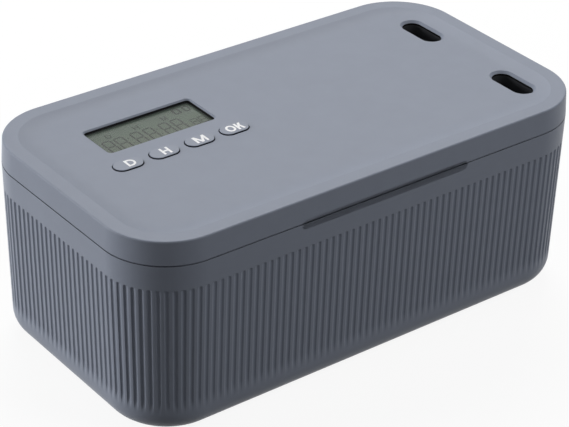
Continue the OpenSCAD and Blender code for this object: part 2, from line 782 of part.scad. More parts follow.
lead_r = 0.6;
lead_half = 2;      // half of the distance between the two leads of a pair
lead_in = 8;        // distance of the motor leads from the board's right end
lead_sag = [3, 2];
function unit(v) = v / norm(v);
function lead_ring(path, i) =
    let (n = len(path), d = unit(path[min(i + 1, n - 1)] - path[max(i - 1, 0)]),
         u = unit(cross(d, [0, 0, 1])), v = cross(u, d))
    [for (g = [0:45:315]) path[i] + lead_r * (u * cos(g) + v * sin(g))];
module lead(path) {
    n = len(path);
    polyhedron(
        [for (i = [0:n - 1]) each lead_ring(path, i), path[0], path[n - 1]],
        concat(
            [for (j = [0:7]) [j, (j + 1) % 8, 8 * n]],
            [for (i = [0:n - 2]) each [for (j = [0:7]) let (k = (j + 1) % 8)
                each [[8 * i + j, 8 * i + 8 + j, 8 * i + 8 + k], [8 * i + j, 8 * i + 8 + k, 8 * i + k]]]],
            [for (j = [0:7]) [8 * (n - 1) + (j + 1) % 8, 8 * (n - 1) + j, 8 * n + 1]]
        ));
}
module motor_leads() color("firebrick") {
    start = [board_x + board_l / 2 - lead_in, board_y - board_w / 2 - seat, board_z + board_t / 2];
    end = [gear_x, gearbox_y + gearbox_l + can_l + seat, gear_z];
    for (k = [-1, 1])
        lead([for (t = [0:0.125:1]) let (s = t * t * (3 - 2 * t))
            [start[0] + lead_half * k + (end[0] - start[0]) * s, start[1] + (end[1] - start[1]) * t,
             start[2] + (end[2] - start[2]) * t - lead_sag[0] * sin(180 * t)]]);
}
module battery_leads() color("firebrick") {
    start = [board_x + board_l / 2 + seat, board_y, board_z + board_t / 2];
    end = [bay_x - bay_l / 2 - bay_wall - seat, bay_y, cell_z];
    for (k = [-1, 1])
        lead([for (t = [0:0.125:1]) let (s = t * t * (3 - 2 * t))
            [start[0] + (end[0] - start[0]) * t, start[1] + lead_half * k + (end[1] - start[1]) * s,
             start[2] + (end[2] - start[2]) * t - lead_sag[1] * sin(180 * t)]]);
}

// Lock -------------------------------------------------------------------------------

module motor_can() color("silver") {
    translate([gear_x, gearbox_y + gearbox_l, gear_z]) rotate([-90, 0, 0]) linear_extrude(can_l)
        intersection() {
            circle(motor_w / 2, $fn = 64);
            square([motor_w, motor_h], center = true);
        }
}
module motor_gearbox() color("goldenrod") {
    difference() {
        translate([gear_x - motor_w / 2, gearbox_y, gear_z - motor_h / 2])
            cube([motor_w, gearbox_l, motor_h]);
        translate([gear_x, gearbox_y - cut, gear_z]) rotate([-90, 0, 0])
            cylinder(r = shaft_r + fit, h = 5 + cut, $fn = 48);
    }
}
module motor_shaft() color("silver") {
    translate([gear_x, bolt_y - gear_w / 2 - 0.4, gear_z]) rotate([-90, 0, 0])
        cylinder(r = shaft_r, h = gearbox_y + 4.6 - (bolt_y - gear_w / 2 - 0.4), $fn = 48);
}
cradle_screw_at = [for (k = [-1, 1])
    [gear_x + k * (motor_w / 2 + cradle_wall + tab / 2), gearbox_y + gearbox_l / 2]];
module motor_cradle() color(inner_grey) {
    base_t = gear_z - motor_h / 2 - deck_z;
    w = motor_w + 2 * slack;
    difference() {
        union() {
            translate([gear_x - w / 2 - cradle_wall, gearbox_y, deck_z])
                cube([w + 2 * cradle_wall, gearbox_l + cradle_past, base_t + cradle_h]);
            translate([gear_x - motor_w / 2 - cradle_wall - tab, gearbox_y, deck_z])
                cube([motor_w + 2 * cradle_wall + 2 * tab, gearbox_l, base_t]);
        }
        translate([gear_x - w / 2, gearbox_y - cut, deck_z + base_t])
            cube([w, gearbox_l + cradle_past + 2 * cut, cradle_h + cut]);
        for (p = cradle_screw_at) translate([p[0], p[1], deck_z - cut])
            cylinder(r = small_screw[0] + fit, h = base_t + 2 * cut, $fn = 32);
    }
}
module cradle_screws() color("silver") {
    base_t = gear_z - motor_h / 2 - deck_z;
    for (p = cradle_screw_at) translate([p[0], p[1], deck_z + base_t]) {
        cylinder(r = small_screw[1], h = small_screw[2], $fn = 32);
        translate([0, 0, -base_t - tray_floor_t + 0.2])
            cylinder(r = small_screw[0], h = base_t + tray_floor_t - 0.2, $fn = 32);
    }
}

// Involute of an angle in degrees
function involute(g) = tan(g) - g * PI / 180;
// Half of a pinion tooth's angle at a radius
function half_tooth(r) =
    let (g = r > gear_base_r ? acos(gear_base_r / r) : 0)
    ((tooth_pitch / 2 - backlash) / 2 / pitch_r + involute(20) - involute(g)) * 180 / PI;
module drive_pinion() color("ivory") {
    flank = [gear_root_r, gear_base_r, (gear_base_r + gear_tip_r) / 2, gear_tip_r];
    translate([gear_x, bolt_y + gear_w / 2, gear_z]) rotate([90, 0, 0]) linear_extrude(gear_w)
        difference() {
            polygon([for (k = [0:gear_teeth - 1], side = [-1, 1], i = [0:3])
                let (r = flank[side < 0 ? i : 3 - i], g = 360 * k / gear_teeth - 90 + side * half_tooth(r))
                [r * cos(g), r * sin(g)]]);
            circle(shaft_r + fit, $fn = 48);
        }
}

// The bolt: a bar with a rack cut into its top, and a nose that enters the strike
bolt_chamfer = 0.6;
module lock_bolt() color("silver") {
    teeth = ceil((bolt_travel + 4) / tooth_pitch) + 1;
    half = (tooth_pitch / 2 - backlash) / 2;
    rack_l = gear_x + 2.5 * tooth_pitch;
    rack_0 = gear_x - (teeth + 0.5) * tooth_pitch;
    lean_t = tan(20);
    translate([0, bolt_y + bolt_w / 2, 0]) rotate([90, 0, 0]) linear_extrude(bolt_w) {
        translate([bolt_tail, bolt_z]) square([rack_0 - bolt_tail, bolt_t]);
        translate([bolt_tail, bolt_z]) square([bolt_nose - bolt_tail - 1, rack_z - rack_down - bolt_z]);
        polygon([[rack_l, bolt_z], [bolt_nose - bolt_chamfer, bolt_z], [bolt_nose, bolt_z + bolt_chamfer],
                 [bolt_nose, bolt_top - bolt_chamfer], [bolt_nose - bolt_chamfer, bolt_top],
                 [rack_l, bolt_top]]);
        for (k = [-teeth:1]) translate([gear_x + (k + 0.5) * tooth_pitch, rack_z])
            polygon([[-half - rack_down * lean_t, -rack_down - 0.1],
                     [half + rack_down * lean_t, -rack_down - 0.1],
                     [half - rack_up * lean_t, rack_up], [-half + rack_up * lean_t, rack_up]]);
    }
}

guide_ends = [bolt_tail + 1, bolt_nose - 2.5];
guide_tab_t = 1.6;
guide_screw_at = [for (k = [0, 1])
    [guide_ends[k] + (k == 0 ? tab / 2 : -tab / 2), bolt_y + guide_y + guide_wall + tab / 2 - 0.5]];
module bolt_guide() color(inner_grey) {
    top = bolt_top + slack + guide_h;
    length = guide_ends[1] - guide_ends[0];
    difference() {
        union() {
            translate([guide_ends[0], bolt_y - guide_y - guide_wall, deck_z])
                cube([length, 2 * (guide_y + guide_wall), bolt_top + slack - deck_z]);
            for (x = [guide_ends[0], guide_ends[1] - bridge_l])
                translate([x, bolt_y - guide_y - guide_wall, deck_z])
                    cube([bridge_l, 2 * (guide_y + guide_wall), top - deck_z]);
            for (p = guide_screw_at)
                translate([p[0] - tab / 2, bolt_y + guide_y, deck_z])
                    cube([tab, guide_wall + tab, guide_tab_t]);
        }
        translate([guide_ends[0] - cut, bolt_y - guide_y, deck_z - cut])
            cube([length + 2 * cut, 2 * guide_y, bolt_top + slack - deck_z + cut]);
        translate([guide_ends[0] + bridge_l, bolt_y - guide_y, deck_z - cut])
            cube([length - 2 * bridge_l, 2 * guide_y, top - deck_z + 2 * cut]);
        for (p = guide_screw_at) translate([p[0], p[1], deck_z - cut])
            cylinder(r = small_screw[0] + fit, h = guide_tab_t + 2 * cut, $fn = 32);
    }
}
module guide_screws() color("silver") {
    for (p = guide_screw_at) translate([p[0], p[1], deck_z + guide_tab_t]) {
        cylinder(r = small_screw[1], h = small_screw[2], $fn = 32);
        translate([0, 0, -guide_screw_l]) cylinder(r = small_screw[0], h = guide_screw_l, $fn = 32);
    }
}

placed() body_shell();
placed() rubber_feet();
placed() strike_bracket();
placed() strike_screws();
placed() hinge_pins();
placed() lid_top();
placed() lid_base();
placed() lid_screws();
placed() display_lens();
placed() lcd_glass();
placed() lcd_frame();
placed() contact_strips();
placed() circuit_board();
placed() controller_chip();
placed() board_screws();
placed() switch_bodies();
placed() button_days();
placed() button_hours();
placed() button_minutes();
placed() button_ok();
placed() plunger_days();
placed() plunger_hours();
placed() plunger_minutes();
placed() plunger_ok();
placed() battery_cell_front();
placed() battery_cell_middle();
placed() battery_cell_back();
placed() battery_contacts();
placed() battery_springs();
placed() battery_door();
placed() door_screw();
placed() battery_leads();
placed() motor_can();
placed() motor_gearbox();
placed() motor_shaft();
placed() motor_cradle();
placed() cradle_screws();
placed() motor_leads();
placed() drive_pinion();
placed() lock_bolt();
placed() bolt_guide();
placed() guide_screws();
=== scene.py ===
"""Timed lock container: the looks of its shell, lid, display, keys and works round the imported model."""
import json
import math

import bmesh
import bpy
from mathutils import Matrix, Vector


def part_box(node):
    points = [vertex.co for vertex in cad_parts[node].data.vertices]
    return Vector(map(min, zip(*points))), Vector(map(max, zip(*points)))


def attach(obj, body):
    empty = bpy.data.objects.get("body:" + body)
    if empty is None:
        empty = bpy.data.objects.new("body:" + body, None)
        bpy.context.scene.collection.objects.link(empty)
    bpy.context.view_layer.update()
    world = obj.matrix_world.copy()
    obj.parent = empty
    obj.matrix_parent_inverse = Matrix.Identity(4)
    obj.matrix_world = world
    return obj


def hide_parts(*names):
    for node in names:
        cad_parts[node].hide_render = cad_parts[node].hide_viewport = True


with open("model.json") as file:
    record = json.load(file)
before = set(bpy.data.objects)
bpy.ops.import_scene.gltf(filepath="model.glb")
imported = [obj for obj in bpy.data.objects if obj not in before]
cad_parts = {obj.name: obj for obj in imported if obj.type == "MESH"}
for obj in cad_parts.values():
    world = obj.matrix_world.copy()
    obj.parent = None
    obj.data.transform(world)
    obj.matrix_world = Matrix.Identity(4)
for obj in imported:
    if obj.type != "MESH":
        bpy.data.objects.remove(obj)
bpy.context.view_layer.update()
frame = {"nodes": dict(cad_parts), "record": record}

NODES = frame["nodes"]
MM = 0.001

# Camera ------------------------------------------------------------------------------------------

FRAME_W = 569                 # width of the picture that the camera was fitted to
FOCAL_PX = 2204.6
CAMERA_TARGET = Vector((-7.39, -9.075, 52.8)) * MM
CAMERA_DISTANCE = 1061.2 * MM
CAMERA_AZ, CAMERA_EL, CAMERA_ROLL = (math.radians(a) for a in (-37.741, 30.861, 1.394))


def aim(obj, place, target, roll=0.0):
    """Puts a camera or a lamp at a place and points it at a target."""
    back = (place - target).normalized()
    right = (-back).cross(Vector((0, 0, 1))).normalized()
    up = right.cross(-back)
    side = right * math.cos(roll) + up * math.sin(roll)
    top = up * math.cos(roll) - right * math.sin(roll)
    turn = Matrix((side, top, back)).transposed().to_4x4()
    obj.matrix_world = Matrix.Translation(place) @ turn


def add_camera():
    data = bpy.data.cameras.new("camera")
    data.sensor_width = 36
    data.lens = FOCAL_PX / FRAME_W * data.sensor_width
    data.clip_start, data.clip_end = 0.05, 30
    camera = bpy.data.objects.new("camera", data)
    bpy.context.scene.collection.objects.link(camera)
    towards = Vector((math.sin(CAMERA_AZ) * math.cos(CAMERA_EL),
                      -math.cos(CAMERA_AZ) * math.cos(CAMERA_EL), math.sin(CAMERA_EL)))
    aim(camera, CAMERA_TARGET + towards * CAMERA_DISTANCE, CAMERA_TARGET, CAMERA_ROLL)
    bpy.context.scene.camera = camera


add_camera()

# Sizes in mm, round the middle of the seam's outline, as in the construction ------------------------

low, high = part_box("lid_base")
DEPTH_SHIFT = (low.y + high.y) / 2
TO_ROW = Matrix.Translation((0, DEPTH_SHIFT, 0)) @ Matrix.Scale(MM, 4)

BASE_Z, SEAM_Z, LID_Z, TOP_Z = 0.8, 92.4, 92.7, 104.5
PANEL_Z, PLATE_Z = 103.2, 101.0
BODY_H = SEAM_Z - BASE_Z
SEAM_L, SEAM_W, SEAM_R = 261.3, 142.3, 32.65
WALL, FLOOR_T, BASE_R, BODY_LEAN = 3.6, 3.2, 11.5, 2.1
RIBS, RIB_DEPTH, RIB_LAND, RIB_DROP, RIB_FADE = 196, 0.7, 1.6, 12.5, 8.0
GRIP_X, GRIP_L, GRIP_BELOW, GRIP_ABOVE, GRIP_D = 1.3, 96.3, 2.9, 1.45, 1.4
LID_FLARE, RIM_W, STEP_W, STEP_D, EDGE_R, LID_WALL = 0.65, 7.3, 9.0, 1.3, 0.8, 3.0
WINDOW = Vector((-62.2, 27.3, 0))
OPENING_L, OPENING_W, OPENING_R, WINDOW_BEVEL = 59.3, 23.4, 1.9, 0.7
LENS_L, LENS_W, GLASS_Z = 63.9, 28.0, 100.95
KEY_XS, KEY_Y = (-91.05, -71.35, -51.65, -31.95), 1.8
KEY_L, KEY_W, KEY_TOP, KEY_GAP = 14.9, 8.4, 103.8, 0.4
SLOT_X, SLOT_YS, SLOT_L, SLOT_W, SLOT_BEVEL = 107.3, (31.4, -37.2), 25.0, 10.5, 1.2
HINGE_Y, HINGE_Z, HINGE_XS = 73.5, 92.4, (-60, 60)
KNUCKLE_R, KNUCKLE_W, KNUCKLE_ROOM, HINGE_OUT = 3.0, 11.0, 0.4, 2.35
BORE_R = 1.3
SEAM_EDGE_R = 0.2             # rounding of the walls' edges at the seam
LENS_R, SHADE_LINER_T = 2.6, 0.4
BOSS_R, BOSS_LOW_Z, PILOT_R, PILOT_L, PILOT_Z = 3.4, 88.9, 1.3, 11, 93.4
LID_SCREW_AT = ((-112.5, -53), (-112.5, 53), (112.5, 53), (89.85, -60.35), (-4, 60.35), (42, -60.35),
                (-64, -60.35))
FOOT_AT = [(x, y) for x in (-96, 96) for y in (-38.5, 38.5)]
FOOT_SEAT_R, FOOT_SEAT_D = 7.2, 1.2

# Mesh tools ----------------------------------------------------------------------------------------


def corners(length, width, radius, steps=12):
    """Points round a rectangle with round corners, each with its outward direction."""
    ring = []
    for k, (sx, sy) in enumerate(((1, -1), (1, 1), (-1, 1), (-1, -1))):
        for i in range(steps + 1):
            turn = math.radians(90 * (k - 1) + 90 * i / steps)
            out = Vector((math.cos(turn), math.sin(turn), 0))
            middle = Vector((sx * (length / 2 - radius), sy * (width / 2 - radius), 0))
            ring.append((middle + out * radius, out))
    return ring


def stadium(length, width, steps=12):
    """The same with fully round ends."""
    return corners(length, width, width / 2 - 0.001, steps)


def skin(rings):
    """A closed bmesh through rings of points, one after another, with as many points in each."""
    bm = bmesh.new()
    spot = bm.verts.layers.int.new("spot")
    loop = bmesh.ops.create_circle(bm, segments=len(rings[0]), radius=1)["verts"]
    for k, vert in enumerate(loop):
        vert[spot] = k
    edges = bm.edges[:]
    bmesh.ops.edgeloop_fill(bm, edges=edges)
    for n, points in enumerate(rings):
        if n:
            grown = bmesh.ops.extrude_edge_only(bm, edges=edges)["geom"]
            loop = [v for v in grown if isinstance(v, bmesh.types.BMVert)]
            new = set(loop)
            edges = [e for e in grown if isinstance(e, bmesh.types.BMEdge) and set(e.verts) <= new]
        for vert in loop:
            vert.co = points[vert[spot]]
    bmesh.ops.edgeloop_fill(bm, edges=edges)
    bmesh.ops.recalc_face_normals(bm, faces=bm.faces)
    bm.verts.layers.int.remove(spot)
    return bm


def loft(ring, levels, tip=Matrix.Identity(4)):
    """A closed skin through levels of a ring: each level is a height and how far it is drawn in."""
    rings = []
    for height, inset in levels:
        drawn = inset if isinstance(inset, list) else [inset] * len(ring)
        points = [point - out * d for (point, out), d in zip(ring, drawn)]
        rings.append([Vector((point.x, point.y, height)) for point in points])
    bm = skin(rings)
    bmesh.ops.transform(bm, matrix=tip, verts=bm.verts)
    return bm


# turns that lay a shape's own Z along an axis
LAY = {"Z": Matrix.Identity(4), "-Z": Matrix.Rotation(math.pi, 4, "X"),
       "X": Matrix.Rotation(math.pi / 2, 4, "Y"), "Y": Matrix.Rotation(-math.pi / 2, 4, "X")}


def turned(profile, steps=48, place=(0, 0, 0), axis="Z"):
    """A solid of revolution: profile points are a radius and a height, both ends on the axis."""
    bm = bmesh.new()
    line = [bm.verts.new((r, 0, z)) for r, z in profile]
    edges = [bm.edges.new(pair) for pair in zip(line, line[1:])]
    bmesh.ops.spin(bm, geom=line + edges, cent=(0, 0, 0), axis=(0, 0, 1), angle=2 * math.pi, steps=steps,
                   use_merge=True)
    bmesh.ops.remove_doubles(bm, verts=bm.verts, dist=1e-5)
    bmesh.ops.recalc_face_normals(bm, faces=bm.faces)
    bmesh.ops.transform(bm, matrix=Matrix.Translation(place) @ LAY[axis], verts=bm.verts)
    return bm


def block(low_corner, high_corner, soft=0.0):
    """A box between two corners, its edges rounded by soft mm where that is given."""
    low_corner, high_corner = Vector(low_corner), Vector(high_corner)
    bm = bmesh.new()
    bmesh.ops.create_cube(bm, size=1)
    size = high_corner - low_corner
    bmesh.ops.scale(bm, vec=size, verts=bm.verts)
    bmesh.ops.translate(bm, vec=(low_corner + high_corner) / 2, verts=bm.verts)
    if soft:
        bmesh.ops.bevel(bm, geom=bm.edges, offset=soft, offset_type="OFFSET", segments=2, profile=0.5,
                        affect="EDGES", material=-1, clamp_overlap=True)
    return bm


def gather(*parts):
    """Several bmeshes as one."""
    whole = bmesh.new()
    for bm in parts:
        scratch = bpy.data.meshes.new("scratch")
        bm.to_mesh(scratch)
        bm.free()
        whole.from_mesh(scratch)
        bpy.data.meshes.remove(scratch)
    return whole


def object_from(bm, name):
    """An object in the scene with a bmesh as its mesh."""
    mesh = bpy.data.meshes.new(name)
    bm.to_mesh(mesh)
    bm.free()
    obj = bpy.data.objects.new(name, mesh)
    bpy.context.scene.collection.objects.link(obj)
    return obj


def combine(bm, *steps):
    """Joins or cuts bmeshes one after another: each step is an operation and a bmesh."""
    obj = object_from(bm, "scratch")
    tools = []
    for operation, tool in steps:
        helper = object_from(tool, "scratch")
        tools.append(helper)
        change = obj.modifiers.new(operation, "BOOLEAN")
        change.operation, change.object, change.solver = operation, helper, "MANIFOLD"
    bpy.context.view_layer.update()
    shaped = obj.evaluated_get(bpy.context.evaluated_depsgraph_get())
    result = bmesh.new()
    result.from_mesh(shaped.to_mesh())
    for helper in tools + [obj]:
        mesh = helper.data
        bpy.data.objects.remove(helper)
        bpy.data.meshes.remove(mesh)
    return result


def piece(name, bm, body, finish, nodes=(), crease=32, smooth=True):
    """A finished piece: the mesh in its place, its finish, and what it rides on and stands for."""
    bmesh.ops.transform(bm, matrix=TO_ROW, verts=bm.verts)
    obj = object_from(bm, name)
    mesh = obj.data
    mesh.materials.clear()
    mesh.materials.append(finish)
    mesh.polygons.foreach_set("use_smooth", [smooth] * len(mesh.polygons))
    if smooth:
        mesh.set_sharp_from_angle(angle=math.radians(crease))
        weighted = obj.modifiers.new("even_normals", "WEIGHTED_NORMAL")
        weighted.keep_sharp = True
        weighted.weight = 80
    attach(obj, body)
    if nodes:
        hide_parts(*nodes)
    return obj


def from_cad(node, soft, cuts=()):
    """A merged copy of a node's solid with cuts made and its sharp edges rounded over."""
    bm = bmesh.new()
    bm.from_mesh(NODES[node].data)
    bmesh.ops.transform(bm, matrix=TO_ROW.inverted() @ NODES[node].matrix_world, verts=bm.verts)
    bmesh.ops.remove_doubles(bm, verts=bm.verts, dist=0.002)
    if cuts:
        bm = combine(bm, *[("DIFFERENCE", cut) for cut in cuts])
    bmesh.ops.dissolve_limit(bm, angle_limit=math.radians(0.8), verts=bm.verts, edges=bm.edges)
    sharp = [e for e in bm.edges if len(e.link_faces) == 2 and e.calc_face_angle(0) > math.radians(38)]
    if soft and sharp:
        bmesh.ops.bevel(bm, geom=sharp, offset=soft, offset_type="OFFSET", segments=2, profile=0.5,
                        affect="EDGES", material=-1, clamp_overlap=True)
    return bm


def cross_recess(place, axis, reach, depth):
    """Two crossed slots sunk into a screw's head; the axis points out of the head."""
    cuts = []
    for turn in (math.pi / 4, -math.pi / 4):
        slot = block((-reach, -reach * 0.2, -depth), (reach, reach * 0.2, 1))
        seat = Matrix.Translation(place) @ LAY[axis] @ Matrix.Rotation(turn, 4, "Z")
        bmesh.ops.transform(slot, matrix=seat, verts=slot.verts)
        cuts.append(slot)
    return cuts


# Finishes ------------------------------------------------------------------------------------------


class Field:
    """A shader value that works in Python sums."""

    def __init__(self, finish, socket):
        self.finish, self.socket = finish, socket

    def math(self, operation, *values):
        return self.finish.node("Math", {"operation": operation}, dict(enumerate(values)))

    def __add__(self, other):
        return self.math("ADD", self, other)

    def __radd__(self, other):
        return self.math("ADD", other, self)

    def __sub__(self, other):
        return self.math("SUBTRACT", self, other)

    def __mul__(self, other):
        return self.math("MULTIPLY", self, other)

    def __truediv__(self, other):
        return self.math("DIVIDE", self, other)


class Finish:
    """A material on the principled shader, with constants set on its own sockets."""

    def __init__(self, name, colour, roughness, **constants):
        self.material = bpy.data.materials.new(name)
        self.material.use_nodes = True
        self.tree = self.material.node_tree
        self.shader = self.tree.nodes["Principled BSDF"]
        self.colour, self.roughness = colour, roughness
        self.shader.inputs["Base Color"].default_value = (*colour, 1)
        self.shader.inputs["Roughness"].default_value = roughness
        for name_, value in constants.items():
            self.shader.inputs[name_.replace("_", " ")].default_value = value

    def node(self, kind, settings=None, inputs=None, out=0):
        made = self.tree.nodes.new("ShaderNode" + kind)
        for key, value in (settings or {}).items():
            if key == "stops":
                for k, (place, colour) in enumerate(value):
                    stops = made.color_ramp.elements
                    stop = stops[k] if k < len(stops) else stops.new(place)
                    stop.position, stop.color = place, (*colour, 1)
            else:
                setattr(made, key, value)
        for key, value in (inputs or {}).items():
            if isinstance(value, Field):
                self.tree.links.new(value.socket, made.inputs[key])
            else:
                made.inputs[key].default_value = value
        return Field(self, made.outputs[out])

    def place(self):
        return self.node("TexCoord", out="Object")

    def noise(self, size, detail=3.0, rough=0.55):
        """Noise whose grain is about a size in mm."""
        return self.node("TexNoise", {}, {"Vector": self.place(), "Scale": 1 / (size * MM), "Detail": detail,
                                          "Roughness": rough})

    def feed(self, socket, value):
        self.tree.links.new(value.socket, self.shader.inputs[socket])
        return self

    def mottled(self, amount):
        """The colour, a little lighter and darker over the surface."""
        dark = tuple(c * (1 - amount) for c in self.colour)
        light = tuple(min(1.0, c * (1 + amount)) for c in self.colour)
        return self.node("ValToRGB", {"stops": ((0.3, dark), (0.7, light))}, {"Fac": self.noise(9.0, 4.0)},
                         "Color")

    def mottle(self, amount):
        return self.feed("Base Color", self.mottled(amount))

    def grain(self, size, height, rough_spread=0.0):
        """A fine surface texture: its height in mm, and how much the gloss varies with it."""
        fine = self.noise(size, 3.0, 0.6)
        bump = self.node("Bump", {}, {"Height": fine, "Strength": 1.0, "Distance": height * MM}, "Normal")
        self.feed("Normal", bump)
        if rough_spread:
            broad = self.noise(size * 14, 3.0)
            self.feed("Roughness", self.roughness + (broad - 0.5) * rough_spread)
        return self


def plain(name, colour, roughness, mottled=0.04, grain=(0.5, 0.01), spread=0.08, **constants):
    """A material of one colour with a little mottle and grain."""
    return Finish(name, colour, roughness, **constants).mottle(mottled).grain(*grain, spread).material


SHELL = (0.276, 0.306, 0.378)
# distances in mm from the middle of the seam at which its painted shade is full and gone, and the colour left
SHADE_FULL, SHADE_GONE, SHADE_LEFT = 0.22, 0.42, 0.05


def shell_finish_with_painted_seam_shade():
    """Fine-grained blue-grey plastic, with painted shade on the rounded edges that face each other across the
    seam.
    """
    finish = Finish("shell_plastic", SHELL, 0.40, Specular_IOR_Level=0.16)
    height = finish.node("SeparateXYZ", {}, {"Vector": finish.place()}, "Z")
    depth = finish.node("SeparateXYZ", {}, {"Vector": finish.place()}, "Y")
    off = finish.node("Math", {"operation": "ABSOLUTE"}, {0: height - (SEAM_Z + LID_Z) / 2 * MM})
    # the flat rims and the hinge knuckles keep their colour without the painted shade, because an open lid
    # shows them
    flat_rim = off.math("LESS_THAN", off, ((LID_Z - SEAM_Z) / 2 + 0.01) * MM)
    knuckles = off.math("GREATER_THAN", depth, (SEAM_W / 2 + 0.1) * MM + DEPTH_SHIFT)
    # painted shade: the colour is darkened on the seam's rounded edges, where the gap's shade falls
    painted_seam_shade = finish.node("MapRange", {}, {"Value": off, "From Min": SHADE_FULL * MM,
                                          "From Max": SHADE_GONE * MM, "To Min": SHADE_LEFT, "To Max": 1.0})
    kept = off.math("MAXIMUM", painted_seam_shade, off.math("MAXIMUM", flat_rim, knuckles))
    finish.feed("Base Color", finish.node("VectorMath", {"operation": "SCALE"},
                                          {0: finish.mottled(0.018), "Scale": kept}))
    return finish.grain(0.32, 0.035, 0.08).material


shell_plastic = shell_finish_with_painted_seam_shade()
button_plastic = plain("button_plastic", SHELL, 0.38, 0.015, (0.5, 0.012), 0.05, Specular_IOR_Level=0.20)
inner_plastic = plain("inner_plastic", (0.030, 0.032, 0.037), 0.55, 0.10, (0.4, 0.03), 0.10)
white_plastic = plain("white_plastic", (0.80, 0.80, 0.78), 0.45, 0.02)
black_elastomer = plain("black_elastomer", (0.03, 0.03, 0.03), 0.7, 0.10)
board_laminate = plain("board_laminate", (0.02, 0.12, 0.05), 0.3, 0.12, (1.4, 0.02))
black_plastic = plain("black_plastic", (0.02, 0.02, 0.02), 0.4, 0.10)
pinion_acetal = plain("pinion_acetal", (0.78, 0.77, 0.72), 0.35, 0.02)
foot_rubber = plain("foot_rubber", (0.04, 0.04, 0.045), 0.75, 0.12, (0.6, 0.05))
lead_insulation = plain("lead_insulation", (0.45, 0.03, 0.03), 0.35, 0.05)
cell_jacket = plain("cell_jacket", (0.10, 0.11, 0.13), 0.28, 0.05, (1.0, 0.004), 0.06, Metallic=0.6)
bright_steel = plain("bright_steel", (0.60, 0.60, 0.62), 0.26, 0.05, (0.35, 0.006), 0.10, Metallic=1.0)
motor_steel = plain("motor_steel", (0.55, 0.55, 0.56), 0.32, 0.06, (0.8, 0.008), 0.12, Metallic=1.0)
gearbox_brass = plain("gearbox_brass", (0.70, 0.55, 0.28), 0.3, 0.06, (0.8, 0.008), 0.12, Metallic=1.0)
key_ink = plain("key_ink", (0.95, 0.95, 0.96), 0.45, 0.01, (0.5, 0.004), 0.03)
label_band = plain("label_band", (0.52, 0.30, 0.10), 0.3, 0.04, (1.0, 0.004), 0.05, Metallic=0.7)
# black that stands, wholly or in part, for painted shade in gaps, holes and walls
painted_shade_black = plain("painted_shade_black", (0.008, 0.008, 0.009), 0.6, 0.10, Specular_IOR_Level=0.10)
clear_lens = Finish("clear_lens", (0.30, 0.32, 0.32), 0.04, Alpha=0.08).grain(30, 0.01).material


LCD_SPAN = 22                 # mm from front to back over which the glass changes its tone
LCD_STOPS = ((0.05, (0.112, 0.144, 0.096)), (0.55, (0.106, 0.150, 0.106)), (0.95, (0.096, 0.136, 0.099)))


def lcd_finish():
    """Dull grey-green glass, a little more olive towards the front."""
    finish = Finish("lcd_glass", (0.11, 0.14, 0.11), 0.35, Specular_IOR_Level=0.15)
    along = finish.node("SeparateXYZ", {}, {"Vector": finish.place()}, "Y")
    edge = (WINDOW.y - LCD_SPAN / 2) * MM + DEPTH_SHIFT
    across = (along - edge) / (LCD_SPAN * MM) + (finish.noise(9, 3) - 0.5) * 0.5
    finish.feed("Base Color", finish.node("ValToRGB", {"stops": LCD_STOPS}, {"Fac": across}, "Color"))
    return finish.grain(0.7, 0.004).material


lcd_glass = lcd_finish()
segment_ink = plain("segment_ink", (0.026, 0.033, 0.025), 0.4, 0.03, (0.7, 0.004), 0.03,
                    Specular_IOR_Level=0.15)

# The body ------------------------------------------------------------------------------------------


def seam_outline(per_rib):
    """Points round the seam's outline at places within each rib, with their outward directions."""
    a, b, arc = SEAM_L / 2 - SEAM_R, SEAM_W / 2 - SEAM_R, math.pi * SEAM_R / 2
    total = 4 * (a + b + arc)
    step = total / RIBS
    ring, place = [], []
    for j in range(RIBS):
        for mark in per_rib:
            s = ((j + mark) * step + GRIP_X) % total
            flip = s > total / 2
            s = total - s if flip else s
            if s < a:
                point, out = Vector((s, -SEAM_W / 2, 0)), Vector((0, -1, 0))
            elif s < a + arc or a + arc + 2 * b <= s < a + 2 * arc + 2 * b:
                back = s >= a + arc
                turn = (s - a - arc - 2 * b) / SEAM_R if back else (s - a) / SEAM_R - math.pi / 2
                out = Vector((math.cos(turn), math.sin(turn), 0))
                point = Vector((a, b if back else -b, 0)) + out * SEAM_R
            elif s < a + arc + 2 * b:
                point, out = Vector((SEAM_L / 2, s - a - arc - b, 0)), Vector((1, 0, 0))
            else:
                point, out = Vector((2 * a + 2 * arc + 2 * b - s, SEAM_W / 2, 0)), Vector((0, 1, 0))
            if flip:
                point.x, out.x = -point.x, -out.x
            ring.append((point, out))
            place.append(min(mark, 1 - mark) * step)
    return ring, place, step


def lean(h):
    return BODY_LEAN * (1 - h / BODY_H)


